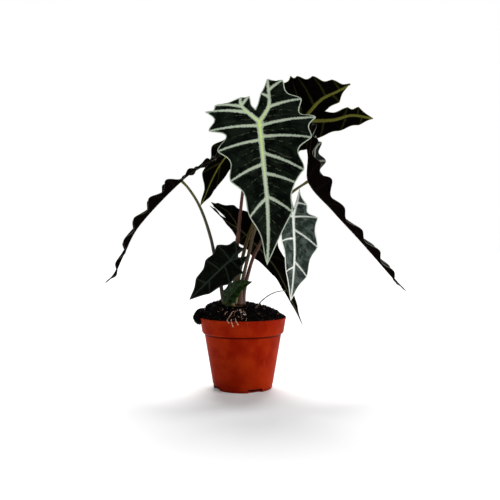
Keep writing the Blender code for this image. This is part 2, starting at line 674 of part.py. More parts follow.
def make_chip(name, angle, inset, size, ground, made_material, collection):
    """A bit of bark or perlite that lies on the ground, this far in from the rim."""
    turn = math.radians(angle)
    radius = RIM_RADIUS - inset
    x, y = radius * math.cos(turn), radius * math.sin(turn)
    bpy.ops.mesh.primitive_ico_sphere_add(subdivisions=2, radius=0.5)
    chip = bpy.context.object
    chip.name = name
    chip.data.name = name
    chip.data.materials.append(made_material)
    spin = Matrix.Rotation(turn * 3, 4, "Z")
    chip.data.transform(spin @ Matrix.Diagonal((*size, 1)))
    down = Vector((0, 0, -1))
    lift = GAP
    for vertex in chip.data.vertices:
        above = Vector((x + vertex.co.x, y + vertex.co.y, POT_HEIGHT + SOIL_MOUND * 3))
        below = ground.ray_cast(above, down)[0]
        lift = max(lift, below.z - vertex.co.z + GAP)
    chip.location = (x, y, lift)
    chip.users_collection[0].objects.unlink(chip)
    collection.objects.link(chip)


def spill_section(angle):
    """The spilled soil's outline at an angle round the pot, as (radius, height) points.

    It runs from the mound over the top, down the outside and back up the rim to the soil.
    """
    def on_soil(radius):
        soil = mound_height(radius * math.cos(angle), radius * math.sin(angle))
        return max(soil + SOIL_LUMP, POT_HEIGHT) + GAP

    inner = RIM_RADIUS - SPILL_IN
    lip = RIM_RADIUS + GAP
    top = POT_HEIGHT + SPILL_RISE
    foot = POT_HEIGHT - SPILL_DROP
    return [
        (inner, on_soil(inner) + GAP * 3),
        (RIM_RADIUS - SPILL_IN / 2, top),
        (RIM_RADIUS + SPILL_OUT * 0.15, POT_HEIGHT + SPILL_RISE * 0.9),
        (RIM_RADIUS + SPILL_OUT * 0.7, POT_HEIGHT + SPILL_RISE * 0.5),
        (RIM_RADIUS + SPILL_OUT, POT_HEIGHT),
        (RIM_RADIUS + SPILL_OUT * 0.8, POT_HEIGHT - SPILL_DROP * 0.65),
        (RIM_RADIUS + SPILL_OUT * 0.25, foot),
        (band_outside(foot) + GAP * 2, foot + GAP),
        (lip, POT_HEIGHT - LIP_ROLL),
        (lip, POT_HEIGHT + GAP),
        (RIM_RADIUS - SPILL_IN / 4, on_soil(RIM_RADIUS - SPILL_IN / 4)),
        (RIM_RADIUS - SPILL_IN / 2, on_soil(RIM_RADIUS - SPILL_IN / 2)),
    ]


def make_spill(made_material, collection):
    """Soil that has crept over the lip on one side: a saddle from the mound to the outside."""
    core = Vector((RIM_RADIUS + SPILL_CORE[0], POT_HEIGHT + SPILL_CORE[1]))
    builder = bmesh.new()

    def place(flat, angle):
        return builder.verts.new((flat.x * math.cos(angle), flat.x * math.sin(angle), flat.y))

    loops = []
    for row in range(SPILL_ROWS + 1):
        across = 2 * row / SPILL_ROWS - 1
        angle = math.radians(SPILL_DEGREES) + across * SPILL_WIDTH / 2 / RIM_RADIUS
        full = math.sqrt(1 - across ** 2)
        if full == 0:
            loops.append([place(core, angle)])
            continue
        section = [Vector(point) for point in spill_section(angle)]
        loops.append([place(core.lerp(point, full), angle) for point in section])
    for loop, following in zip(loops, loops[1:]):
        count = max(len(loop), len(following))
        for index in range(count):
            after = (index + 1) % count
            corners = [loop[index % len(loop)], loop[after % len(loop)],
                       following[after % len(following)], following[index % len(following)]]
            builder.faces.new(list(dict.fromkeys(corners)))
    bmesh.ops.recalc_face_normals(builder, faces=builder.faces)
    add_object("spilled_soil", mesh_from("spilled_soil", builder), made_material, collection)


def make_small_pieces(collection):
    """Sheaths, the rolled new leaf, the thin shoot, surface roots, bark, perlite and spill."""
    papery = material("sheath_papery", (0.42, 0.38, 0.24), 0.7)
    for name, (angle, half_width, height) in SHEATHS.items():
        make_sheath(name, angle, half_width, height, papery, collection)
    lime = material("new_leaf_green", (0.22, 0.42, 0.06), 0.45)
    x, y = NEW_LEAF_FOOT
    base = Vector((CROWN_PLACE[0] + x, CROWN_PLACE[1] + y, crown_top(x, y)))
    base.z += GAP + NEW_LEAF_RADIUS
    route = Route([base] + [MOUTH + Vector(point) * MM for point in NEW_LEAF_POINTS])
    tube("rolled_new_leaf", route, (NEW_LEAF_RADIUS, NEW_LEAF_RADIUS * 0.3), lime, collection)
    thin = material("thin_shoot_tissue", (0.20, 0.18, 0.12), 0.6)
    x, y = SHOOT_FOOT
    base = Vector((x, y, soil_height(x, y) + GAP + SOIL_LUMP))
    route = Route([base] + [MOUTH + Vector(point) * MM for point in SHOOT_POINTS])
    tube("thin_shoot", route, (SHOOT_RADIUS, SHOOT_RADIUS * 0.6), thin, collection)
    pale = material("root_tissue", (0.48, 0.34, 0.24), 0.7)
    for index, (angle, reach, drop) in enumerate(ROOTS, 1):
        make_root(f"surface_root_{index}", angle, reach, drop, pale, collection)
    bark = material("bark", (0.20, 0.11, 0.05), 0.85)
    perlite = material("perlite", (0.75, 0.72, 0.66), 0.8)
    bpy.context.view_layer.update()
    ground = BVHTree.FromObject(bpy.data.objects["potting_soil"],
                                bpy.context.evaluated_depsgraph_get())
    for index, chip in enumerate(BARK_CHIPS, 1):
        make_chip(f"bark_chip_{index}", *chip, ground, bark, collection)
    for index, grain in enumerate(PERLITE_GRAINS, 1):
        make_chip(f"perlite_grain_{index}", *grain, ground, perlite, collection)


def clear_scene():
    for item in list(bpy.data.objects):
        bpy.data.objects.remove(item)


def main():
    clear_scene()
    collection = bpy.data.collections.new(OBJECT_NAME)
    cutters = bpy.data.collections.new("cutters")
    bpy.context.scene.collection.children.link(collection)
    bpy.context.scene.collection.children.link(cutters)
    make_pot(collection, cutters)
    make_soil(collection, cutters)
    make_crown(collection)
    green = material("leaf_tissue", (0.012, 0.028, 0.016), 0.35)
    stalk = material("petiole_tissue", (0.16, 0.14, 0.05), 0.5)
    for name in LEAVES:
        make_leaf(name, green, collection)
        make_petiole(name, stalk, collection)
    make_small_pieces(collection)
    make_spill(bpy.data.materials["soil_peat"], collection)


main()
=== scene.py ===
"""Looks of a potted alocasia: veined leaves and their stalks, the crown, the soil and the pot.

Metres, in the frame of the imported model. The plant's own points are millimetres from the
centre of the pot's mouth, and a flat leaf is drawn in hundredths of its midrib's length.
"""

import math

import bmesh
import bpy
import numpy as np
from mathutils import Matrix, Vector, noise


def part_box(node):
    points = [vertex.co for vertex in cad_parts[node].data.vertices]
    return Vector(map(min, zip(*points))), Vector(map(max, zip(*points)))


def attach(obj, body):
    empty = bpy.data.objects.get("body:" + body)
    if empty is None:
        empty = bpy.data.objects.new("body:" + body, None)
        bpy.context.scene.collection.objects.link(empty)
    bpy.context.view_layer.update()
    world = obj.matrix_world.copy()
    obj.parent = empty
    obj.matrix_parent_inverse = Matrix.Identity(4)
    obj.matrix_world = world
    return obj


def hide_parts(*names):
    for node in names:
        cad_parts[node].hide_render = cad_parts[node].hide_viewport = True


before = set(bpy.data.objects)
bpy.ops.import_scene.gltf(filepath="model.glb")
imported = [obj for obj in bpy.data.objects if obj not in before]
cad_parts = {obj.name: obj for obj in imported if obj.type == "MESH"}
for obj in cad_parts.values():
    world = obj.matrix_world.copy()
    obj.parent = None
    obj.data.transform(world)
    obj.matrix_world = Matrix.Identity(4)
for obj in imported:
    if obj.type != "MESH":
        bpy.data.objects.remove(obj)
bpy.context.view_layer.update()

MM = 0.001

# ---------------------------------------------------------------- sizes from the frame
pot_low, pot_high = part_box("nursery_pot")
POT_HEIGHT = pot_high.z
RIM_RADIUS = (pot_high.x - pot_low.x) / 2
BASE_RADIUS = RIM_RADIUS * 0.70
MOUTH = np.array([0.0, 0.0, POT_HEIGHT])

# ---------------------------------------------------------------- pot
WALL = 1.4 * MM
BAND_HEIGHT = 21.5 * MM
BAND_STEP = 2.8 * MM
BAND_TAPER = 0.06
LIP = 0.9 * MM
FOOT_HEIGHT = 8.0 * MM
FOOT_STEP = 0.7 * MM
FLOOR_THICKNESS = 2.0 * MM
NOTCH = (12.0 * MM, 21.0 * MM, 10.0 * MM)
NOTCHES = 4
FIRST_NOTCH_DEGREES = -65.0
POT_SIDES = 192
BAND_BOTTOM = POT_HEIGHT - BAND_HEIGHT
BAND_RADIUS = RIM_RADIUS * (1 - BAND_TAPER)
BODY_RADIUS = BAND_RADIUS - BAND_STEP
FOOT_INSIDE = BASE_RADIUS - FOOT_STEP * 2 - WALL

# ---------------------------------------------------------------- soil and crown
SOIL_EDGE = POT_HEIGHT - 3.0 * MM
MOUND = 18.0 * MM
MOUND_LEAN = (-0.45, 0.30)
CROWN_RADIUS = 15.0 * MM
CROWN_RISE = 7.0 * MM
CROWN_PLACE = (-14.0 * MM, -5.0 * MM)
STALK_SPACING = 18.0 * MM
STALK_BASE = 2.9 * MM
STALK_TOP = 1.7 * MM
STALK_SINK = 1.0 * MM
STALK_FLARE = 9.0 * MM
STALK_KNEE = 6.0 * MM
STALK_SIDES = 28
STALK_RING_GAP = 1.6 * MM
STALK_NARROWING = 0.92
CROWN_DEPTH = 12.0 * MM
CROWN_SIDES = 96
CROWN_RINGS = 40
SOIL_SIDES = 180
SOIL_RINGS = 64

# ---------------------------------------------------------------- spilled soil
SPILL_DEGREES = 184.0
SPILL_WIDTH = 27.0 * MM
SPILL_OUT = 8.0 * MM
SPILL_IN = 6.0 * MM
SPILL_RISE = 11.5 * MM
SPILL_DROP = 9.0 * MM

# ---------------------------------------------------------------- leaves
BLADE_THICKNESS = 0.8 * MM
RIDGE = 2.0
BOW = 0.04
FLAT_END = 8.0
RAY_POINTS = 13
RINGS = 26
DIP_LEAN = 1.3
DIP_SHARPNESS = 1.5
PUCKER = 0.55
MIDRIB_HALF_WIDTHS = (2.1, 0.75)
LOBE_RIB_HALF_WIDTHS = (1.75, 0.9)
SIDE_VEIN_HALF_WIDTHS = (1.2, 0.5)
RELIEF_ABOVE = 0.10
RELIEF_BELOW = 0.42
RELIEF_FADE_MM = 3.0
MARGIN_SHARE = 0.35
MARGIN_WIDTH_MM = 1.5

# A flat leaf: x to the right and y towards the tip, from where the stalk joins. Each side lists
# its veins from the tip round to the sinus: the place where the vein leaves a rib, the vein's
# own tip on the margin, and how deep the margin dips before the next one. The place is -1 at
# the midrib's tip, 0 at the stalk, 1 at the lobe rib's tip and 2 back on its inner side.
FRONT_PATTERN = {
    "midrib": [(0, 0), (1.8, 20), (3.6, 40), (5.3, 61), (5.8, 82), (5, 100)],
    "left_rib": [(0, 0), (-6.3, -5), (-11.5, -9.5), (-13.5, -13), (-13.6, -17.5)],
    "right_rib": [(0, 0), (4.2, -6.3), (6.6, -11), (7.0, -18), (5.6, -31.0)],
    "left": [
        (-1.0, 5, 100, 2.6), (-0.55, -7.0, 68.5, 4.2), (-0.31, -20.3, 45, 5.4),
        (-0.133, -29.4, 24, 10.0), (-0.028, -35.7, 9, 5.2), (0.45, -38.5, -5.5, 2.0),
        (0.70, -31.5, -10.8, 0.6), (1.0, -13.6, -17.5, 0.2), (1.25, -7.0, -18.4, 1.0),
        (2.0, -3.0, -9.0, 0),
    ],
    "right": [
        (-1.0, 5, 100, 0.4), (-0.54, 22.4, 65, 1.7), (-0.38, 24.5, 45.5, 0.5),
        (-0.23, 30.8, 37, 7.0), (-0.11, 36.4, 13.5, 3.5), (-0.028, 39.9, -1.5, 6.6),
        (0.38, 30.0, -15.4, 3.6), (0.75, 16.8, -29.5, 0.4), (1.0, 5.6, -31.0, 0.4),
        (1.4, 0.8, -20.5, 0.4), (2.0, -3.0, -9.0, 0),
    ],
}
BROAD_PATTERN = {
    "midrib": [(0, 0), (0.8, 35), (0.4, 70), (0, 100)],
    "left_rib": [(0, 0), (-8, -9), (-15, -20), (-19, -36)],
    "right_rib": [(0, 0), (8, -9), (15, -20), (18, -35)],
    "left": [
        (-1.0, 0, 100, 1.2), (-0.68, -12, 83, 2.0), (-0.50, -20, 66, 3.0), (-0.34, -26, 48, 4.0),
        (-0.20, -32, 30, 4.6), (-0.09, -36, 12, 4.4), (0.0, -38, -5, 4.0), (0.40, -37, -20, 3.2),
        (0.72, -30, -32, 1.6), (1.0, -19, -36, 0.8), (1.35, -9, -30, 0.8), (2.0, 0, -14, 0),
    ],
    "right": [
        (-1.0, 0, 100, 1.2), (-0.66, 13, 81, 2.0), (-0.48, 21, 64, 3.2), (-0.32, 27, 46, 4.0),
        (-0.19, 33, 28, 4.8), (-0.09, 37, 10, 4.2), (0.0, 39, -6, 4.0), (0.42, 37, -21, 3.2),
        (0.74, 29, -32, 1.6), (1.0, 18, -35, 0.8), (1.35, 8, -29, 0.8), (2.0, 0, -14, 0),
    ],
}
BACK_PATTERN = {
    "midrib": [(0, 0), (0.8, 35), (0.4, 70), (0, 100)],
    "left_rib": [(0, 0), (-3, -9), (-6, -20), (-7, -32), (-13, -44)],
    "right_rib": [(0, 0), (4, -6), (9.5, -16), (11, -27), (12.5, -37)],
    "left": [
        (-1.0, 0, 100, 1.2), (-0.68, -15, 82, 2.0), (-0.50, -22, 62, 3.0), (-0.34, -26, 43, 3.0),
        (-0.20, -27, 26, 3.0), (-0.09, -25, 12, 2.0), (0.0, -19, 2, 1.6), (0.30, -14, -8, 0.8),
        (0.62, -14, -22, 0.8), (0.85, -14.5, -35, 0.4), (1.0, -13.5, -45, 0.6),
        (1.22, -3, -38, 1.6), (1.42, -0.8, -31, 2.0), (2.0, 1.4, -16, 0),
    ],
    "right": [
        (-1.0, 0, 100, 1.2), (-0.66, 12, 80, 2.0), (-0.48, 18, 62, 3.0), (-0.32, 21, 45, 3.6),
        (-0.19, 23, 29, 3.0), (-0.09, 27, 13, 2.4), (0.0, 31.5, 1, 1.6), (0.30, 30, -4.5, 2.4),
        (0.55, 26.5, -15.5, 2.4), (0.80, 20, -27, 1.6), (1.0, 13.5, -37, 1.0),
        (1.35, 4, -27, 0.6), (2.0, 1.4, -16, 0),
    ],
}
SMALL_PATTERN = {
    "midrib": [(0, 0), (1.0, 40), (0.4, 75), (-1.0, 100)],
    "left_rib": [(0, 0), (-4, -10), (-7, -20), (-8, -33)],
    "right_rib": [(0, 0), (2, -10), (4, -20), (5, -36)],
    "left": [
        (-1.0, -1.0, 100, 1.2), (-0.60, -14, 66, 2.4), (-0.26, -23, 32, 3.0),
        (0.0, -29, 2, 4.0), (0.5, -23, -20, 2.2), (1.0, -8, -33, 0.8), (2.0, 0, -12, 0),
    ],
    "right": [
        (-1.0, -1.0, 100, 1.2), (-0.53, 17, 71, 3.0), (-0.15, 29, 37, 2.4),
        (0.0, 30, 0, 4.6), (0.5, 16, -16, 1.6), (1.0, 5, -36, 0.8), (2.0, 0, -12, 0),
    ],
}

# Each leaf in the air. The axis runs from behind the lobes through the stalk's joint to the tip.
# Along it, from 0 at the joint to 1 at the tip, the faces are the way its upper side looks and
# the folds are the degrees that each half rises. Width is its breadth against the pattern's,
# ruffle the height of its wavy margin, step the fineness of its surface, and vein the width of
# its veins against the front leaf's.
LEAVES = {
    "leaf_front": {
        "pattern": FRONT_PATTERN, "width": 0.97, "ruffle": 0.8, "step": 0.55, "vein": 1.0,
        "axis": [(22, -52, 316), (22, -60, 259), (22, -84, 166), (22, -92, 74)],
        "faces": [(0, (0, -1, 0.3)), (1, (0, -1, 0))],
        "folds": [(0, 6), (1, 10)],
    },
    "leaf_right_small": {
        "pattern": SMALL_PATTERN, "width": 1.0, "ruffle": 0.6, "step": 0.8, "vein": 0.95,
        "axis": [(71, -34, 178), (67, -42, 137), (67, -50, 85), (64, -52, 26)],
        "faces": [(0, (0.42, -0.9, 0.15)), (1, (0.42, -0.9, 0))],
        "folds": [(0, 24), (1, 24)],
    },
    "leaf_upper_back": {
        "pattern": BACK_PATTERN, "width": 1.0, "ruffle": 1.0, "step": 0.6, "vein": 0.7,
        "axis": [(168, 34, 308), (87, 45, 283), (30, 70, 272), (-30, 85, 232), (-66, 80, 160)],
        "faces": [(0, (0.15, 0.97, 0.1)), (0.22, (-0.2, 0.3, 0.9)), (1, (-0.85, 0.4, 0.3))],
        "folds": [(-0.4, 4), (1, 8)],
    },
    "leaf_right_long": {
        "pattern": BROAD_PATTERN, "width": 0.80, "ruffle": 1.6, "step": 0.6, "vein": 0.8,
        "axis": [(92, 0, 242), (91, -4, 190), (126, -6, 147), (163, -8, 106), (205, -10, 57),
                 (225, -10, 36)],
        "faces": [(0, (0.78, -0.10, 0.62)), (1, (0.78, -0.16, 0.62))],
        "folds": [(-0.35, 14), (-0.1, 18), (0.07, 24), (0.2, 14), (0.32, 9), (0.45, 9),
                  (0.6, 12), (0.75, 14), (0.85, 12), (1, 4)],
    },
    "leaf_left_long": {
        "pattern": BROAD_PATTERN, "width": 0.80, "ruffle": 2.0, "step": 0.6, "vein": 0.8,
        "axis": [(-39, 6, 222), (-85, 0, 191), (-143, -5, 129), (-165, -8, 87), (-177, -9, 61),
                 (-190, -10, 47)],
        "faces": [(0, (-0.72, -0.15, 0.69)), (0.4, (-0.8, -0.17, 0.6)), (1, (-0.9, -0.2, 0.4))],
        "folds": [(-0.3, 0), (-0.05, 1), (0.15, 13), (0.45, 12), (0.75, 7), (1, 0)],
    },
    "leaf_lower_left": {
        "pattern": SMALL_PATTERN, "width": 1.25, "ruffle": 0.8, "step": 0.9, "vein": 0.8,
        "axis": [(4, -36, 88), (-16, -42, 79), (-41, -54, 57), (-68, -62, 28)],
        "faces": [(0, (-0.2, -0.95, 0.3)), (1, (-0.25, -0.9, 0.3))],
        "folds": [(0, 12), (1, 14)],
    },
    "leaf_young": {
        "pattern": SMALL_PATTERN, "width": 1.10, "ruffle": 0.4, "step": 1.2, "vein": 0.6,
        "axis": [(-24, -27, 20), (-18, -28, 29), (-5, -32, 43), (13, -31, 51)],
        "faces": [(0, (-0.2, -0.9, 0.3)), (1, (0.1, -0.95, 0.2))],
        "folds": [(0, 14), (1, 10)],
    },
    "leaf_low_back": {
        "pattern": BROAD_PATTERN, "width": 0.62, "ruffle": 0.5, "step": 0.7, "vein": 0.7,
        "axis": [(-55, 38, 160), (-7, 26, 125), (38, 25, 80), (58, 15, 46), (84, 5, -13)],
        "faces": [(0, (0.1, 0.95, 0.25)), (1, (0.1, 0.98, 0.1))],
        "folds": [(-0.35, 82), (-0.12, 64), (0.1, 52), (0.3, 50), (0.6, 68), (1, 80)],
    },
}

# Each stalk: its angle on the crown, its share of STALK_SPACING from the centre, the points
# that it passes on the way to its leaf, and its tones from the base to the top.
STALKS = {
    "leaf_front": (-110, 0.18, [(-11, -10, 52), (-8, -11, 93), (-3, -13, 148), (3, -17, 195),
                                (12, -30, 235)],
                   [(0, (124, 84, 52)), (0.3, (96, 52, 32)), (0.7, (92, 40, 26)), (1, (96, 88, 36))]),
    "leaf_right_small": (-42, 0.75, [(-1, -16, 47), (8, -18, 87), (18, -18, 124),
                                     (38, -22, 148), (57, -28, 150)],
                         [(0, (98, 66, 48)), (0.3, (92, 66, 44)), (0.6, (96, 80, 48)),
                          (1, (120, 118, 60))]),
    "leaf_upper_back": (50, 0.40, [(-6, 1, 52), (2, 3, 93), (13, 8, 127), (35, 16, 192),
                                   (62, 28, 245)],
                        [(0, (96, 74, 46)), (0.3, (96, 78, 26)), (0.6, (92, 80, 26)),
                         (1, (100, 100, 34))]),
    "leaf_right_long": (-15, 0.76, [(4, -7, 47), (14, -6, 82), (26, -5, 106), (44, -5, 142),
                                    (65, -5, 170)],
                        [(0, (104, 70, 52)), (0.35, (104, 60, 44)), (0.6, (84, 66, 28)),
                         (1, (126, 124, 50))]),
    "leaf_left_long": (175, 0.62, [(-29, -5, 34), (-31, -5, 47), (-40, -5, 89), (-45, -4, 111),
                                   (-54, -3, 139), (-64, -2, 161), (-76, -1, 179)],
                       [(0, (60, 22, 14)), (0.3, (44, 12, 8)), (0.55, (64, 56, 30)),
                        (0.8, (84, 86, 46)), (1, (128, 132, 58))]),
    "leaf_lower_left": (-100, 0.66, [(-13, -18, 34), (-9, -21, 52), (-8, -25, 66)],
                        [(0, (96, 66, 44)), (0.5, (92, 62, 38)), (1, (92, 96, 40))]),
    "leaf_young": (-150, 0.66, [(-23.5, -17, 28)],
                   [(0, (116, 108, 66)), (1, (84, 100, 44))]),
    "leaf_low_back": (120, 0.50, [(-18, 4, 50), (-12, 9, 90)],
                      [(0, (80, 50, 32)), (1, (72, 46, 30))]),
}


def tone(red, green, blue):
    """A colour's light values from how it looks, each part from 0 to 255."""
    parts = (channel / 255 for channel in (red, green, blue))
    return tuple(p / 12.92 if p <= 0.04045 else ((p + 0.055) / 1.055) ** 2.4 for p in parts)


# ================================================================ shader and geometry graphs
class Value:
    """A socket that takes part in sums. Each sum adds its Math node."""

    def __init__(self, graph, socket):
        self.graph = graph
        self.socket = socket

    def sum(self, operation, *values):
        return self.graph.node("ShaderNodeMath", {"operation": operation}, dict(enumerate(values)))

    def __add__(self, other):
        return self.sum("ADD", self, other)

    def __sub__(self, other):
        return self.sum("SUBTRACT", self, other)

    def __rsub__(self, other):
        return self.sum("SUBTRACT", other, self)

    def __mul__(self, other):
        return self.sum("MULTIPLY", self, other)

    def __pow__(self, other):
        return self.sum("POWER", self, other)

    def sine(self):
        return self.sum("SINE", self)

    def size(self):
        return self.sum("ABSOLUTE", self)

    __radd__ = __add__
    __rmul__ = __mul__


class Graph:
    """A node tree, with one way to add any node to it."""

    def __init__(self, tree):
        self.tree = tree

    def node(self, kind, settings=None, inputs=None, output=0):
        made = self.tree.nodes.new(kind)
        for name, value in (settings or {}).items():
            setattr(made, name, value)
        for key, value in (inputs or {}).items():
            self.feed(made.inputs[key], value)
        return Value(self, made.outputs[output])

    def feed(self, socket, value):
        if isinstance(value, Value):
            self.tree.links.new(value.socket, socket)
        else:
            socket.default_value = value


class Finish(Graph):
    """A material, and the patterns that the finishes share."""

    def __init__(self, name, constants):
        self.material = bpy.data.materials.new(name)
        self.material.use_nodes = True
        super().__init__(self.material.node_tree)
        self.shader = self.tree.nodes["Principled BSDF"]
        for socket, value in constants.items():
            self.shader.inputs[socket].default_value = value
        self.place = self.node("ShaderNodeTexCoord", output="Object")

    def attribute(self, name):
        return self.node("ShaderNodeAttribute", {"attribute_name": name}, output="Fac")

    def noise(self, scale, detail=3.0, where=None, distortion=0.0):
        return self.node("ShaderNodeTexNoise", {}, {
            "Vector": where or self.place, "Scale": scale, "Detail": detail,
            "Distortion": distortion,
        })

    def along(self, *parts):
        """A place made of numbers, for a pattern that follows a piece."""
        return self.node("ShaderNodeCombineXYZ", {}, dict(enumerate(parts)))

    def rise(self, value, low, high):
        """0 below low and 1 above high, eased between."""
        return self.node("ShaderNodeMapRange", {"interpolation_type": "SMOOTHSTEP"},
                         {"Value": value, "From Min": low, "From Max": high})

    def fall(self, value, low, high):
        return 1 - self.rise(value, low, high)

    def mix(self, share, first, second):
        colours = [c if isinstance(c, Value) else (*c, 1) for c in (first, second)]
        return self.node("ShaderNodeMix", {"data_type": "RGBA"},
                         {0: share, 6: colours[0], 7: colours[1]}, output=2)

    def ramp(self, value, stops):
        made = self.node("ShaderNodeValToRGB", {}, {"Fac": value})
        elements = made.socket.node.color_ramp.elements
        while len(elements) < len(stops):
            elements.new(1.0)
        for element, (place, colour) in zip(elements, stops):
            element.position = place
            element.color = (*colour, 1)
        return made

    def paint(self, colour, roughness=None, height=None, depth=0.3 * MM, strength=1.0):
        """Joins what varies to the shader, and gives back the material."""
        self.feed(self.shader.inputs["Base Color"], colour)
        if roughness is not None:
            self.feed(self.shader.inputs["Roughness"], roughness)
        if height is not None:
            bump = self.node("ShaderNodeBump", {},
                             {"Height": height, "Distance": depth, "Strength": strength})
            self.feed(self.shader.inputs["Normal"], bump)
        return self.material


# ================================================================ shapes
class Route:
    """A smooth curve through a few points, read by the distance along it."""

    STEPS = 24

    def __init__(self, points):
        points = np.asarray(points, float)
        ends = np.vstack([2 * points[0] - points[1], points, 2 * points[-1] - points[-2]])
        t = np.linspace(0, 1, self.STEPS, endpoint=False)[:, None]
        runs = []
        for before, start, end, after in zip(ends, ends[1:], ends[2:], ends[3:]):
            bend = before * 2 - start * 5 + end * 4 - after
            twist = start * 3 - before - end * 3 + after
            runs.append((start * 2 + (end - before) * t + bend * t ** 2 + twist * t ** 3) / 2)
        self.points = np.vstack(runs + [points[-1:]])
        spans = np.linalg.norm(np.diff(self.points, axis=0), axis=1)
        self.marks = np.concatenate([[0.0], np.cumsum(spans)])
        self.length = self.marks[-1]
        self.ways = np.gradient(self.points, self.marks, axis=0)

    def at(self, distance):
        """The point at a distance and the direction there; past an end it runs straight on."""
        distance = np.asarray(distance, float)
        inside = np.clip(distance, 0, self.length)
        point, way = (np.stack([np.interp(inside, self.marks, part) for part in parts.T], -1)
                      for parts in (self.points, self.ways))
        way = way / np.linalg.norm(way, axis=-1, keepdims=True)
        return point + way * (distance - inside)[..., None], way


def between(stops, share):
    """The value at a share, eased from one (share, value) stop to the next."""
    marks = np.array([stop[0] for stop in stops], float)
    values = np.array([stop[1] for stop in stops], float)
    share = np.clip(share, marks[0], marks[-1])
    index = np.clip(np.searchsorted(marks, share, side="right") - 1, 0, len(marks) - 2)
    t = (share - marks[index]) / (marks[index + 1] - marks[index])
    t = t * t * (3 - 2 * t)
    if values.ndim > 1:
        t = t[..., None]
    return values[index] + (values[index + 1] - values[index]) * t


def unit(vectors):
    return vectors / np.maximum(np.linalg.norm(vectors, axis=-1, keepdims=True), 1e-12)


def distance_to(points, line):
    """For each flat point, how far the nearest part of a line is, and its share along it."""
    start, way = line[:-1], np.diff(line, axis=0)
    length = np.maximum((way ** 2).sum(1), 1e-12)
    offset = points[:, None] - start[None]
    t = np.clip((offset * way[None]).sum(2) / length[None], 0, 1)
    gap = np.linalg.norm(offset - way[None] * t[..., None], axis=2)
    nearest = gap.argmin(1)
    rows = np.arange(len(points))
    return gap[rows, nearest], (nearest + t[rows, nearest]) / len(start)


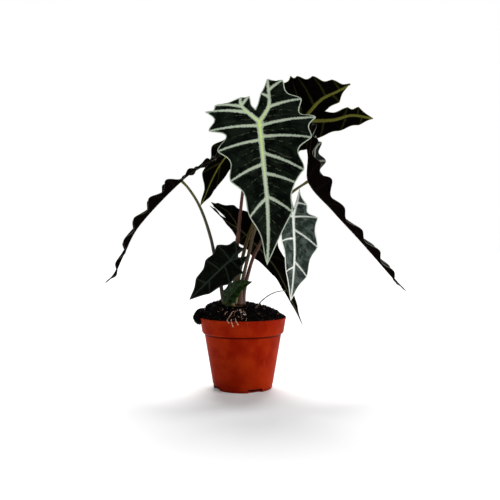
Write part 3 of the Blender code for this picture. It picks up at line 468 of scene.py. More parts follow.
class Blade:
    """A leaf's pattern bent along its axis in the air."""

    def __init__(self, name):
        self.leaf = LEAVES[name]
        self.pattern = self.leaf["pattern"]
        self.ribs = {rib: Route(self.pattern[rib]) for rib in ("midrib", "left_rib", "right_rib")}
        self.axis = Route(MOUTH + np.array(self.leaf["axis"]) * MM)
        self.joint = self.axis.marks[Route.STEPS]
        self.unit = (self.axis.length - self.joint) / 100

    def rib_point(self, side, place):
        """The flat point on a rib: midrib below 0, then the lobe's rib out to 1 and back."""
        midrib, rib = self.ribs["midrib"], self.ribs[side + "_rib"]
        on_lobe = np.clip(np.where(place <= 1, place, 2 - place), 0, 1)
        on_midrib = midrib.at(np.clip(-place, 0, 1) * midrib.length)[0]
        return np.where((place <= 0)[..., None], on_midrib, rib.at(on_lobe * rib.length)[0])

    def margin_point(self, side, place):
        """The flat point on the margin, and how far it is from one vein to the next."""
        veins = np.array(self.pattern[side], float)
        index = np.clip(np.searchsorted(veins[:, 0] - 1e-9, place, side="right") - 1,
                        0, len(veins) - 2)
        start, end = veins[index], veins[index + 1]
        share = np.clip((place - start[..., 0]) / (end[..., 0] - start[..., 0]), 0, 1)
        chord = unit(end[..., 1:3] - start[..., 1:3])
        inward = np.stack([chord[..., 1], -chord[..., 0]], -1) * (1 if side == "right" else -1)
        dip = start[..., 3] * np.sin(math.pi * share ** DIP_LEAN) ** DIP_SHARPNESS
        straight = start[..., 1:3] + (end[..., 1:3] - start[..., 1:3]) * share[..., None]
        return straight + inward * dip[..., None], share

    def flat(self, side, place, reach):
        """The flat point on the way out from a rib, and its ray's length and vein share."""
        start = self.rib_point(side, place)
        end, share = self.margin_point(side, place)
        length = np.linalg.norm(end - start, axis=-1)
        point = start + (end - start) * reach[..., None]
        point[..., 1] -= length * BOW * np.sin(math.pi * reach)
        return point, length, share

    def in_air(self, flat, lift):
        """The points in the air for flat points, each lifted along the upper face's normal."""
        along = flat[..., 1] / 100
        centre, way = self.axis.at(self.joint + flat[..., 1] * self.unit)
        face = between(self.leaf["faces"], along)
        face = unit(face - way * (face * way).sum(-1, keepdims=True))
        across = np.cross(face, way)
        midrib = self.rib_point("left", -np.clip(along, 0, 1))[..., 0]
        offset = flat[..., 0] - midrib
        fold = np.radians(between(self.leaf["folds"], along))
        rise = np.hypot(offset, RIDGE) - RIDGE
        sideways = (midrib + offset * np.cos(fold)) * self.leaf["width"]
        upward = rise * np.sin(fold) * self.leaf["width"] + lift
        return centre + (across * sideways[..., None] + face * upward[..., None]) * self.unit

    def places(self, step):
        """The places of the rays on one side: the same on both sides of every rib."""
        veins = [vein[0] for side in ("left", "right") for vein in self.pattern[side]]
        midrib = sorted({place for place in veins if place <= 0} | {0.0})
        lobe = sorted({round(place if place <= 1 else 2 - place, 4) for place in veins if place >= 0})
        along = self.divided(midrib, step, mirrored=False)
        out = self.divided(lobe, step, mirrored=True)
        return np.array(along[:-1] + out + [2 - share for share in reversed(out)][1:])

    def divided(self, stops, step, mirrored):
        """The stops with more places between them, so that the margin has one at each step."""
        places = []
        for start, end in zip(stops, stops[1:]):
            pairs = [(start, end)] + ([(2 - end, 2 - start)] if mirrored else [])
            span = max(
                np.linalg.norm(np.subtract(*(self.margin_point(side, np.array(place))[0]
                                             for place in pair)))
                for side in ("left", "right") for pair in pairs)
            count = max(1, round(span / step))
            places += [start + (end - start) * i / count for i in range(count)]
        return places + [stops[-1]]

    def vein_lines(self):
        """Each vein as a flat line with its half widths at its foot and tip."""
        size = self.leaf["vein"]
        lines = [(self.ribs["midrib"].points, MIDRIB_HALF_WIDTHS)]
        reach = np.linspace(0, 1, RAY_POINTS)
        for side in ("left", "right"):
            lines.append((self.ribs[side + "_rib"].points, LOBE_RIB_HALF_WIDTHS))
            for vein in self.pattern[side][1:-1]:
                if vein[0] != 1.0:
                    ray = self.flat(side, np.full(RAY_POINTS, vein[0]), reach)[0]
                    lines.append((ray, SIDE_VEIN_HALF_WIDTHS))
        return [(line, foot * size, tip * size) for line, (foot, tip) in lines]

    def joint_frame(self):
        """Where the stalk joins, the way to the tip and the upper face's normal there."""
        centre, way = self.axis.at(self.joint)
        face = between(self.leaf["faces"], np.array(0.0))
        return centre, way, unit(face - way * face.dot(way))


def polar(radius, angle, height=0.0, middle=(0.0, 0.0)):
    """The point at a distance and an angle round an upright axis."""
    return middle[0] + radius * math.cos(angle), middle[1] + radius * math.sin(angle), height


def ring_faces(rings, sides, flip=False):
    """The quads between rings of points that follow one another."""
    faces = []
    for i in range(rings - 1):
        for j in range(sides):
            a, b = i * sides + j, i * sides + (j + 1) % sides
            faces.append([a, a + sides, b + sides, b] if flip else [a, b, b + sides, a + sides])
    return faces


def fan_faces(middle, first, sides, flip=False):
    """The triangles between a middle point and the ring that begins at a point."""
    pairs = [(first + j, first + (j + 1) % sides) for j in range(sides)]
    return [[middle, b, a] if flip else [middle, a, b] for a, b in pairs]


def mesh_of(name, points, faces):
    data = bpy.data.meshes.new(name)
    data.from_pydata([tuple(point) for point in points], [], faces)
    return data


def mesh_from(name, builder):
    """A mesh of what a bmesh holds. The bmesh is freed."""
    data = bpy.data.meshes.new(name)
    builder.to_mesh(data)
    builder.free()
    return data


def piece_of(name, points, faces, attributes, material, slot, nodes):
    """A finished piece made of points and faces, with values kept on its points."""
    data = mesh_of(name, points, faces)
    for key, values in attributes.items():
        layer = data.attributes.new(key, "FLOAT", "POINT")
        layer.data.foreach_set("value", np.asarray(values, np.float32))
    finish_piece(name, data, material, nodes)


def finish_piece(name, data, material, nodes, smooth=True):
    """Makes a mesh a piece that rides with the plant and stands for its CAD nodes."""
    data.materials.clear()
    data.materials.append(material)
    data.shade_smooth() if smooth else data.shade_flat()
    data.update()
    piece = bpy.data.objects.new(name, data)
    bpy.context.scene.collection.objects.link(piece)
    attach(piece, "root")
    if nodes:
        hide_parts(*nodes)


# ================================================================ leaves
def open_blade(blade):
    """The blade's middle surface as a bmesh, with each point's flat place kept on it."""
    places = blade.places(blade.leaf["step"])
    reach = 1 - (1 - np.linspace(0, 1, RINGS)) ** 1.25
    builder = bmesh.new()
    keep = {key: builder.verts.layers.float.new(key) for key in ("x", "y", "ray", "reach")}
    grid_places, grid_reach = np.meshgrid(places, reach, indexing="ij")
    for side in ("left", "right"):
        flat, length, share = blade.flat(side, grid_places, grid_reach)
        spread = np.minimum(1, length / FLAT_END)
        wave = blade.leaf["ruffle"] * spread * grid_reach ** 2 * np.cos(2 * math.pi * share)
        pucker = PUCKER * spread * np.sin(math.pi * share) ** 2 * np.sin(math.pi * grid_reach) ** 0.8
        air = blade.in_air(flat, wave + pucker)
        ray = np.where(grid_places <= 0, grid_places * 100, grid_places * 40)
        rows = []
        for i in range(len(places)):
            row = []
            for j in range(RINGS):
                vertex = builder.verts.new(air[i, j])
                values = (flat[i, j, 0], flat[i, j, 1], ray[i, j], grid_reach[i, j])
                for key, value in zip(keep, values):
                    vertex[keep[key]] = value
                row.append(vertex)
            rows.append(row)
        for row, following in zip(rows, rows[1:]):
            for a, b, c, d in zip(row, following, following[1:], row[1:]):
                builder.faces.new((a, b, c, d) if side == "left" else (d, c, b, a))
    bmesh.ops.remove_doubles(builder, verts=builder.verts, dist=0.01 * MM)
    builder.normal_update()
    return builder, keep


def rim_of(builder):
    """The open rim as pairs of point numbers, each in the direction of its own face."""
    pairs = []
    for edge in builder.edges:
        if edge.is_boundary:
            first, second = (vertex.index for vertex in edge.verts)
            order = [vertex.index for vertex in edge.link_faces[0].verts]
            forward = order[(order.index(first) + 1) % len(order)] == second
            pairs.append((first, second) if forward else (second, first))
    return pairs


def vein_relief(blade, flat, scale):
    """How far flat points are from any vein's side and a rib's, in mm, and how high they rise."""
    vein, ridge = np.full(len(flat), 1e3), np.zeros(len(flat))
    rib = vein
    for line, foot, tip in blade.vein_lines():
        gap, share = distance_to(flat, line)
        half = foot + (tip - foot) * share
        vein = np.minimum(vein, (gap - half) * scale)
        ridge = np.maximum(ridge, half * np.exp(-(gap / half) ** 2))
        if len(line) > RAY_POINTS:
            rib = np.minimum(rib, (gap - half) * scale)
    return vein, rib, ridge


def from_margin(flat, rim, scale):
    """How far flat points are from the margin, in mm, worked out in parts to save memory."""
    rim_points = sorted({index for pair in rim for index in pair})
    edge = np.concatenate([
        np.linalg.norm(part[:, None] - flat[rim_points][None], axis=2).min(1)
        for part in np.array_split(flat, 40)]) * scale
    edge[rim_points] = 0
    return edge


def make_leaf(name, material):
    """One blade: two skins with veins in relief, closed along a thin margin."""
    blade = Blade(name)
    builder, keep = open_blade(blade)
    builder.verts.index_update()
    middle = np.array([vertex.co for vertex in builder.verts])
    normal = np.array([vertex.normal for vertex in builder.verts])
    stored = {key: np.array([vertex[layer] for vertex in builder.verts])
              for key, layer in keep.items()}
    faces = [[vertex.index for vertex in face.verts] for face in builder.faces]
    rim = rim_of(builder)
    builder.free()

    flat = np.stack([stored["x"], stored["y"]], 1)
    scale = blade.unit / MM
    vein, rib, ridge = vein_relief(blade, flat, scale)
    edge = from_margin(flat, rim, scale)
    full = MARGIN_SHARE + (1 - MARGIN_SHARE) * np.minimum(1, edge / MARGIN_WIDTH_MM)
    half_wall = BLADE_THICKNESS / 2 * full
    relief = ridge * np.minimum(1, edge / RELIEF_FADE_MM) * blade.unit
    above = half_wall + relief * RELIEF_ABOVE
    below = half_wall + relief * RELIEF_BELOW
    points = np.vstack([middle + normal * above[:, None], middle - normal * below[:, None]])
    count = len(middle)
    shell = faces + [[index + count for index in reversed(face)] for face in faces]
    shell += [[second, first, first + count, second + count] for first, second in rim]
    attributes = {key: np.concatenate([value, value]) for key, value in
                  (("vein", vein), ("rib", rib), ("edge", edge), ("ray", stored["ray"]),
                   ("reach", stored["reach"]), ("flat_x", flat[:, 0]), ("flat_y", flat[:, 1]))}
    attributes["upper"] = np.concatenate([np.ones(count), np.zeros(count)])
    piece_of(name.replace("leaf", "blade"), points, shell, attributes, material,
             "leaf_tissue", [name])


def leaf_finish(name, lamina, lit, vein, margin, under, under_vein, fine, shine):
    """Waxy upper side with pale feathered veins and margin, and a dull purple underside."""
    skin = Finish(name, {"Specular IOR Level": 0.0, "Coat Roughness": 0.24})
    far, edge = skin.attribute("vein"), skin.attribute("edge")
    ray, reach = skin.attribute("ray"), skin.attribute("reach")
    upper = skin.attribute("upper")
    across, down = skin.attribute("flat_x"), skin.attribute("flat_y")
    drawn = skin.along(across, down, 0.0)
    at_joint = skin.fall((across * across + down * down) ** 0.5, 4.0, 62.0)
    feather = skin.noise(0.9, 4.0, where=drawn) - 0.5
    blotch = skin.noise(0.11, 3.0, where=drawn, distortion=0.6)
    on_vein = skin.fall(far + feather * 3.4, -0.8, 0.8)
    core = skin.fall(far, -3.4, -1.0)
    strand = (ray * 1.02 + blotch * 5.0 + reach * 2.0).sine()
    strand = skin.rise(strand, 0.90, 1.0)
    thread = (ray * 2.7 + blotch * 9.0 + reach * 3.0).sine()
    thread = skin.rise(thread, 0.80, 1.0)
    near_rib = skin.fall(reach + feather * 0.5, 0.15, 0.95)
    gate = skin.rise(skin.noise(0.35, 2.0, where=drawn), 0.42, 0.62)
    lines = (strand * gate * 0.6 + thread * gate * 0.14) * (near_rib * 0.85 + 0.15) * fine
    on_edge = skin.fall(edge + feather * 1.2, 0.7, 1.7)
    patch = skin.rise(blotch, 0.38, 0.66)
    blade = skin.mix(patch, lamina, lit)
    fresh = skin.mix(at_joint, vein, JOINT_GREEN)
    pale = skin.mix(core, margin, fresh)
    top = skin.mix(lines, blade, vein)
    top = skin.mix(on_edge, top, margin)
    top = skin.mix(on_vein, top, pale)
    grain = skin.noise(0.30, 5.0, where=drawn)
    below = skin.mix(skin.rise(grain, 0.35, 0.7), under, [part * 0.45 for part in under])
    on_rib = skin.fall(skin.attribute("rib") + feather * 1.5, -0.9, 0.7)
    below = skin.mix(on_rib * 0.85, below, under_vein)
    below = skin.mix(on_vein * 0.12, below, under_vein)
    below = skin.mix(skin.fall(edge, 0.4, 1.1) * 0.6, below, under_vein)
    colour = skin.mix(upper, below, top)
    roughness = on_vein * 0.15 + blotch * 0.2 + (1 - upper) * 0.1 + 0.4
    skin.feed(skin.shader.inputs["Coat Weight"], upper * shine)
    height = lines * -0.5 + grain * 0.7 + on_vein * 0.5 + thread * 0.25
    return skin.paint(colour, roughness, height, 0.25 * MM, 0.6)


BLACK_GREEN = tone(5, 9, 6)
JOINT_GREEN = tone(206, 232, 134)
PURPLE = tone(20, 12, 12)
OLIVE = tone(84, 84, 42)
# Each leaf's tones are set to how bright that leaf looks, so they differ partly with the leaf's age
# and partly as painted light and shade on the leaf.
LEAF_FINISHES = {
    "leaf_front": dict(lamina=BLACK_GREEN, lit=tone(20, 27, 20), vein=tone(210, 230, 184),
                       margin=tone(178, 190, 170), under=PURPLE, under_vein=OLIVE,
                       fine=0.17, shine=0.10),
    # Painted sheen: this leaf's lamina and lit tones are raised well above the other leaves' to stand
    # in for the glossy light on it.
    "leaf_right_small": dict(lamina=tone(33, 43, 37), lit=tone(78, 90, 83),
                             vein=tone(250, 254, 248), margin=tone(236, 242, 232), under=PURPLE,
                             under_vein=OLIVE, fine=0.3, shine=0.45),
    "leaf_upper_back": dict(lamina=BLACK_GREEN, lit=tone(20, 28, 20), vein=tone(170, 186, 140),
                            margin=tone(170, 180, 150), under=tone(7, 6, 5),
                            under_vein=tone(104, 104, 44), fine=0.2, shine=0.10),
    "leaf_right_long": dict(lamina=BLACK_GREEN, lit=tone(16, 22, 19), vein=tone(180, 192, 170),
                            margin=tone(112, 116, 104), under=tone(18, 11, 11),
                            under_vein=tone(50, 44, 32), fine=0.2, shine=0.24),
    "leaf_left_long": dict(lamina=BLACK_GREEN, lit=tone(12, 16, 12), vein=tone(120, 128, 104),
                           margin=tone(88, 90, 76), under=tone(13, 9, 8),
                           under_vein=tone(50, 44, 32), fine=0.1, shine=0.02),
    "leaf_lower_left": dict(lamina=tone(8, 10, 6), lit=tone(14, 17, 11), vein=tone(118, 126, 104),
                            margin=tone(44, 52, 44), under=PURPLE, under_vein=OLIVE,
                            fine=0.15, shine=0.05),
    "leaf_young": dict(lamina=tone(10, 16, 6), lit=tone(30, 54, 18), vein=tone(66, 96, 40),
                       margin=tone(42, 62, 30), under=tone(20, 20, 12), under_vein=OLIVE,
                       fine=0.15, shine=0.20),
    "leaf_low_back": dict(lamina=BLACK_GREEN, lit=tone(15, 21, 15), vein=tone(150, 166, 120),
                          margin=tone(104, 108, 86), under=tone(10, 8, 6),
                          under_vein=tone(72, 70, 46), fine=0.2, shine=0.10),
}


# ================================================================ stalks and other tubes
def swept(route, radii, sides, rings, narrowing=1.0):
    """A closed tube along a route. Its radii are a function of the share along it and the angle."""
    share = np.linspace(0, 1, rings)
    centre, way = route.at(share * route.length)
    side = np.cross(way[0], [0.0, 1.0, 0.0])
    side = unit(side if np.linalg.norm(side) > 0.1 else np.cross(way[0], [1.0, 0.0, 0.0]))
    angles = np.arange(sides) / sides * 2 * math.pi
    points = []
    for i in range(rings):
        side = unit(side - way[i] * side.dot(way[i]))
        other = np.cross(way[i], side)
        radius = radii(share[i], angles)
        ring = (side * (np.cos(angles) * radius)[:, None]
                + other * (np.sin(angles) * radius * narrowing)[:, None])
        points.append(centre[i] + ring)
    points = np.vstack(points + [centre[:1], centre[-1:]])
    along = np.concatenate([np.repeat(share, sides), [0.0, 1.0]])
    around = np.concatenate([np.tile(angles / (2 * math.pi), rings), [0.0, 0.0]])
    foot, top, last = rings * sides, rings * sides + 1, (rings - 1) * sides
    faces = (ring_faces(rings, sides) + fan_faces(foot, 0, sides, flip=True)
             + fan_faces(top, last, sides))
    return points, faces, {"along": along, "around": around}


def mound_height(x, y):
    """The soil's surface without its crumbs: a mound that leans to one side of the pot."""
    x, y = x / RIM_RADIUS, y / RIM_RADIUS
    steep = np.maximum(0.0, 1 - (x * x + y * y) ** 3)
    return SOIL_EDGE + MOUND * steep * (1 + MOUND_LEAN[0] * x + MOUND_LEAN[1] * y)


CROWN_SHOULDER = float(mound_height(*CROWN_PLACE))


def crown_top(x, y):
    """The crown's height over a point measured from the crown's centre."""
    share = min(1.0, math.hypot(x, y) / CROWN_RADIUS)
    return CROWN_SHOULDER + CROWN_RISE * math.sqrt(1 - share ** 2)


def make_stalk(name, material):
    """One leaf's stalk: a clasping foot in the crown, then a long taper to the blade."""
    angle, share, passing, _ = STALKS[name]
    x, y, _ = polar(STALK_SPACING * share, math.radians(angle))
    foot = [CROWN_PLACE[0] + x, CROWN_PLACE[1] + y, crown_top(x, y) - STALK_SINK]
    joint, way, face = Blade(name).joint_frame()
    under = joint - face * STALK_TOP * 0.9 + way * 1.5 * MM
    route = Route(np.vstack([[foot], MOUTH + np.array(passing) * MM, [under]]))
    flare = STALK_FLARE / route.length
    knee = STALK_KNEE / route.length

    def radii(share, angles):
        """Tapers up the stalk, swells at the foot and again where it bends into the blade."""
        plain = STALK_BASE + (STALK_TOP - STALK_BASE) * share ** 0.8
        foot_swell = 1 + 0.55 * math.exp(-(share / flare) ** 2)
        top_swell = 1 + 0.25 * math.exp(-((1 - share) / knee) ** 2)
        ribbed = 1 + 0.03 * np.cos(angles * 7) + 0.02 * math.sin(share * 37)
        return plain * foot_swell * top_swell * ribbed

    rings = max(24, int(route.length / STALK_RING_GAP))
    made = swept(route, radii, STALK_SIDES, rings, STALK_NARROWING)
    piece_of(name.replace("leaf", "stalk"), *made, material, "petiole_tissue",
             [name.replace("leaf", "petiole")])


def stalk_finish(name, tones):
    """Smooth skin that changes from foot to blade, with fine streaks, flecks and a bloom."""
    skin = Finish(name, {"Specular IOR Level": 0.4, "Subsurface Weight": 0.04,
                         "Subsurface Radius": (0.004, 0.002, 0.001)})
    along, around = skin.attribute("along"), skin.attribute("around")
    streak = skin.noise(3.0, 4.0, where=skin.along(around * 9.0, along * 1.2, 0.0))
    fleck = skin.noise(900.0, 2.0)
    stops = [(place, tone(*colour)) for place, colour in tones]
    base = skin.ramp(along, stops)
    dark = skin.ramp(along, [(place, [part * 0.35 for part in colour]) for place, colour in stops])
    colour = skin.mix(skin.rise(streak, 0.42, 0.66) * 0.7, base, dark)
    colour = skin.mix(skin.rise(fleck, 0.62, 0.72) * 0.35, colour, tone(150, 140, 90))
    return skin.paint(colour, streak * 0.2 + 0.34, streak + fleck * 0.3, 0.2 * MM, 0.4)


# ================================================================ pot
def turned(name, profile, sides):
    """A profile of (radius, height) points turned about the pot's axis, as a plain mesh."""
    builder = bmesh.new()
    angles = np.arange(sides) / sides * 2 * math.pi
    rings = []
    for radius, height in profile:
        if radius < 1e-9:
            rings.append([builder.verts.new((0, 0, height))])
        else:
            rings.append([builder.verts.new(polar(radius, angle, height)) for angle in angles])
    for ring, following in zip(rings, rings[1:]):
        for j in range(sides):
            k = (j + 1) % sides
            corners = [ring[j % len(ring)], ring[k % len(ring)],
                       following[k % len(following)], following[j % len(following)]]
            builder.faces.new(list(dict.fromkeys(corners)))
    bmesh.ops.recalc_face_normals(builder, faces=builder.faces)
    return mesh_from(name, builder)


def softened(profile, radius, steps=4):
    """The profile with each inner corner rounded by short arcs of about that radius."""
    points = [np.array(p, float) for p in profile]
    rounded = [points[0]]
    for before, corner, after in zip(points, points[1:], points[2:]):
        reach = min(radius, 0.45 * np.linalg.norm(corner - before),
                    0.45 * np.linalg.norm(after - corner))
        start = corner + unit(before - corner) * reach
        end = corner + unit(after - corner) * reach
        for t in np.linspace(0, 1, steps + 1):
            rounded.append(start * (1 - t) ** 2 + corner * 2 * t * (1 - t) + end * t ** 2)
    return [tuple(point) for point in rounded + [points[-1]]]


def body_outside(height):
    """The radius of the tapered body, between the foot line and the band, at a height."""
    share = (height - FOOT_HEIGHT) / (BAND_BOTTOM - FOOT_HEIGHT)
    return BASE_RADIUS + (BODY_RADIUS - BASE_RADIUS) * share


def make_pot(material):
    """The pot: rolled lip, tapered band, groove, body, foot line and notches in its corner."""
    profile = [
        (0, FLOOR_THICKNESS),
        (FOOT_INSIDE, FLOOR_THICKNESS),
        (FOOT_INSIDE + FOOT_STEP, FOOT_HEIGHT - FOOT_STEP),
        (body_outside(FOOT_HEIGHT) - WALL, FOOT_HEIGHT),
        (BODY_RADIUS - WALL, BAND_BOTTOM),
        (BAND_RADIUS - WALL, BAND_BOTTOM + BAND_STEP),
        (RIM_RADIUS - WALL, POT_HEIGHT - LIP),
        (RIM_RADIUS - WALL * 0.9, POT_HEIGHT),
        (RIM_RADIUS - 0.2 * MM, POT_HEIGHT),
        (RIM_RADIUS, POT_HEIGHT - 0.5 * MM),
        (RIM_RADIUS, POT_HEIGHT - 2.0 * MM),
        (RIM_RADIUS - 0.5 * MM, POT_HEIGHT - 2.4 * MM),
        (BAND_RADIUS + 0.3 * MM, BAND_BOTTOM + 1.6 * MM),
        (BAND_RADIUS - 0.8 * MM, BAND_BOTTOM),
        (BODY_RADIUS + 0.3 * MM, BAND_BOTTOM - 0.9 * MM),
        (BODY_RADIUS - 0.4 * MM, BAND_BOTTOM - 2.2 * MM),
        (body_outside(BAND_BOTTOM - 4 * MM), BAND_BOTTOM - 4 * MM),
        (body_outside(FOOT_HEIGHT + 0.6 * MM), FOOT_HEIGHT + 0.6 * MM),
        (BASE_RADIUS + 0.35 * MM, FOOT_HEIGHT),
        (BASE_RADIUS - FOOT_STEP, FOOT_HEIGHT - FOOT_STEP),
        (BASE_RADIUS - FOOT_STEP * 1.6, 2.0 * MM),
        (BASE_RADIUS - FOOT_STEP * 3, 0),
        (0, 0),
    ]
    data = turned("pot_body", softened(profile, 0.5 * MM), POT_SIDES)
    pot = bpy.data.objects.new("pot_blank", data)
    bpy.context.scene.collection.objects.link(pot)
    cutters = []
    for index in range(NOTCHES):
        angle = math.radians(FIRST_NOTCH_DEGREES + 360 * index / NOTCHES)
        bpy.ops.mesh.primitive_cube_add(size=1)
        cutter = bpy.context.object
        cutter.scale = NOTCH
        cutter.rotation_euler.z = angle
        cutter.location = polar(BASE_RADIUS, angle)
        cut = pot.modifiers.new(f"Notch {index}", "BOOLEAN")
        cut.operation = "DIFFERENCE"
        cut.solver = "EXACT"
        cut.object = cutter
        cutters.append(cutter)
    finished = evaluated(pot, "nursery_pot_body")
    for extra in [pot] + cutters:
        bpy.data.objects.remove(extra)
    finish_piece("pot", finished, material, ["nursery_pot"])
    finished.set_sharp_from_angle(angle=math.radians(42))


def evaluated(source, name):
    """A plain mesh of what an object shows."""
    bpy.context.view_layer.update()
    graph = bpy.context.evaluated_depsgraph_get()
    data = bpy.data.meshes.new_from_object(source.evaluated_get(graph))
    data.name = name
    return data


def pot_finish():
    """Satin terracotta plastic: faint turning lines, scuffs and soil dust under the lip, and painted
    shade in the groove under the band.
    """
    plastic = Finish("terracotta plastic", {"Specular IOR Level": 0.012})
    height = plastic.node("ShaderNodeSeparateXYZ", {}, {0: plastic.place}, output="Z")
    cloud = plastic.noise(38.0, 4.0)
    fine = plastic.noise(1400.0, 3.0)
    stretched = plastic.node("ShaderNodeMapping", {}, {"Vector": plastic.place,
                                                       "Scale": (260.0, 260.0, 30.0)})
    scuff = plastic.noise(1.0, 5.0, where=stretched)
    lines = (height * 9000.0 + cloud * 6.0).sine()
    colour = plastic.mix(plastic.rise(cloud, 0.3, 0.7), tone(136, 23, 3), tone(162, 43, 9))
    colour = plastic.mix(plastic.rise(scuff, 0.64, 0.74) * 0.25, colour, tone(190, 78, 40))
    near_lip = plastic.rise(height + cloud * 0.012, POT_HEIGHT - 0.010, POT_HEIGHT + 0.004)
    dust = near_lip * plastic.rise(plastic.noise(420.0, 4.0), 0.56, 0.66)
    colour = plastic.mix(dust * 0.65, colour, tone(58, 20, 9))
    # Painted shade: the groove under the band is darkened to a deep red as if it lay in shadow.
    from_groove = (height - (BAND_BOTTOM - 1.4 * MM)).size()
    groove_shade = plastic.fall(from_groove, 0.7 * MM, 1.8 * MM)
    colour = plastic.mix(groove_shade * 0.85, colour, tone(60, 5, 1))
    foot = plastic.fall(height, 1.5 * MM, 5.5 * MM)
    foot = foot * plastic.rise(plastic.noise(160.0, 4.0), 0.4, 0.6)
    colour = plastic.mix(foot * 0.6, colour, tone(84, 24, 8))
    roughness = cloud * 0.12 + 0.36 + dust * 0.3
    return plastic.paint(colour, roughness, fine * 0.5 + lines * 0.12 + scuff * 0.6,
                         0.12 * MM, 0.5)


# ================================================================ soil, crown and small things
def lumpy(point, size, strength):
    """A soft random push at a point, from layered noise."""
    return noise.fractal(Vector(point) / size, 0.8, 2.0, 4) * strength


def make_soil(material):
    """The heaped peat: a fine polar surface with crumbly relief, closed below in the pot."""
    inner = RIM_RADIUS - WALL - 0.3 * MM
    turns = [j / SOIL_SIDES * 2 * math.pi for j in range(SOIL_SIDES)]
    points = []
    for i in range(1, SOIL_RINGS + 1):
        fade = min(1.0, (SOIL_RINGS - i) / 5)
        for turn in turns:
            x, y, _ = polar(inner * i / SOIL_RINGS, turn)
            z = float(mound_height(x, y))
            push = lumpy((x, y, 0), 7 * MM, 1.3 * MM) + lumpy((x, y, 0.1), 2.2 * MM, 0.7 * MM)
            points.append((x, y, z + push * (0.3 + 0.7 * fade)))
    below = [(BAND_RADIUS - WALL - 0.4 * MM, BAND_BOTTOM + BAND_STEP),
             (BODY_RADIUS - WALL - 0.4 * MM, BAND_BOTTOM),
             (FOOT_INSIDE - 0.6 * MM, FLOOR_THICKNESS + 0.6 * MM)]
    for radius, height in below:
        points += [polar(radius, turn, height) for turn in turns]
    top, bottom, bands = len(points), len(points) + 1, SOIL_RINGS + len(below)
    points += [(0, 0, float(mound_height(0, 0))), (0, 0, FLOOR_THICKNESS + 0.6 * MM)]
    faces = ring_faces(bands, SOIL_SIDES, flip=True) + fan_faces(top, 0, SOIL_SIDES)
    faces += fan_faces(bottom, (bands - 1) * SOIL_SIDES, SOIL_SIDES, flip=True)
    piece_of("peat", points, faces, {}, material, "soil_peat", ["potting_soil"])


def peat_finish():
    """Moist dark peat: black crumbs with brown and reddish bits."""
    peat = Finish("peat", {"Specular IOR Level": 0.05})
    coarse, fine = peat.noise(260.0, 5.0), peat.noise(1500.0, 4.0)
    colour = peat.mix(peat.rise(coarse, 0.4, 0.66), tone(4, 3, 3), tone(14, 10, 8))
    colour = peat.mix(peat.rise(fine, 0.6, 0.7) * 0.4, colour, tone(40, 26, 18))
    return peat.paint(colour, fine * 0.2 + 0.78, coarse + fine * 0.5, 0.5 * MM, 0.9)


def scatter_tree(name, area, material, bit, seed):
    """A tree that spreads bits over a ground of some area, each turned and sized at random."""
    tree = bpy.data.node_groups.new(name + " scatter", "GeometryNodeTree")
    for label, kind in (("Geometry", "NodeSocketGeometry"), ("Bits", "NodeSocketInt"),
                        ("Smallest", "NodeSocketFloat"), ("Largest", "NodeSocketFloat"),
                        ("Flatness", "NodeSocketFloat"), ("Lift", "NodeSocketFloat")):
        tree.interface.new_socket(label, in_out="INPUT", socket_type=kind)
    tree.interface.new_socket("Geometry", in_out="OUTPUT", socket_type="NodeSocketGeometry")
    graph = Graph(tree)
    entry = tree.nodes.new("NodeGroupInput")
    given = {socket.name: Value(graph, socket) for socket in entry.outputs if socket.name}
    points = graph.node("GeometryNodeDistributePointsOnFaces", {},
                        {"Mesh": given["Geometry"], "Density": given["Bits"] * (1 / area),
                         "Seed": seed})
    turn = graph.node("FunctionNodeRandomValue", {"data_type": "FLOAT_VECTOR"},
                      {0: (0.0, 0.0, 0.0), 1: (6.28, 6.28, 6.28), "Seed": seed + 1})
    size = graph.node("FunctionNodeRandomValue", {"data_type": "FLOAT"},
                      {2: 0.0, 3: 1.0, "Seed": seed + 2}, output=1)
    long = graph.node("FunctionNodeRandomValue", {"data_type": "FLOAT"},
                      {2: 0.6, 3: 1.3, "Seed": seed + 3}, output=1)
    size = given["Smallest"] + (given["Largest"] - given["Smallest"]) * size ** 2.4
    scale = graph.node("ShaderNodeCombineXYZ", {},
                       {0: size * long, 1: size, 2: size * given["Flatness"]})
    copies = graph.node("GeometryNodeInstanceOnPoints", {},
                        {"Points": points, "Instance": bit(graph), "Rotation": turn,
                         "Scale": scale})
    up = graph.node("ShaderNodeCombineXYZ", {}, {2: given["Lift"]})
    copies = graph.node("GeometryNodeTranslateInstances", {},
                        {"Instances": copies, "Translation": up, "Local Space": False})
    real = graph.node("GeometryNodeRealizeInstances", {}, {"Geometry": copies})
    painted = graph.node("GeometryNodeSetMaterial", {}, {"Geometry": real, "Material": material})
    leave = tree.nodes.new("NodeGroupOutput")
    tree.links.new(painted.socket, leave.inputs[0])
    return tree


def scattered(name, ground, material, bit, count, smallest, largest, seed,
              flatness=0.6, lift=0.0):
    """A piece made of bits spread over a ground mesh by Geometry Nodes."""
    holder = bpy.data.objects.new(name + "_ground", ground)
    bpy.context.scene.collection.objects.link(holder)
    area = sum(face.area for face in ground.polygons)
    modifier = holder.modifiers.new(name, "NODES")
    modifier.node_group = scatter_tree(name, area, material, bit, seed)
    values = {"Bits": count, "Smallest": smallest, "Largest": largest,
              "Flatness": flatness, "Lift": lift}
    for item in modifier.node_group.interface.items_tree:
        if item.in_out == "INPUT" and item.name in values:
            modifier[item.identifier] = values[item.name]
    data = evaluated(holder, name)
    holder.modifiers.clear()
    bpy.data.objects.remove(holder)
    finish_piece(name, data, material, [], smooth=False)


def crumb(graph):
    """A rough lump about one unit across."""
    ball = graph.node("GeometryNodeMeshIcoSphere", {}, {"Radius": 0.5, "Subdivisions": 2})
    push = graph.node("ShaderNodeTexNoise", {"noise_dimensions": "3D"},
                      {"Scale": 2.2, "Detail": 1.0}, output="Color")
    offset = graph.node("ShaderNodeVectorMath", {"operation": "SUBTRACT"},
                        {0: push, 1: (0.5, 0.5, 0.5)})
    return graph.node("GeometryNodeSetPosition", {}, {"Geometry": ball, "Offset": offset})


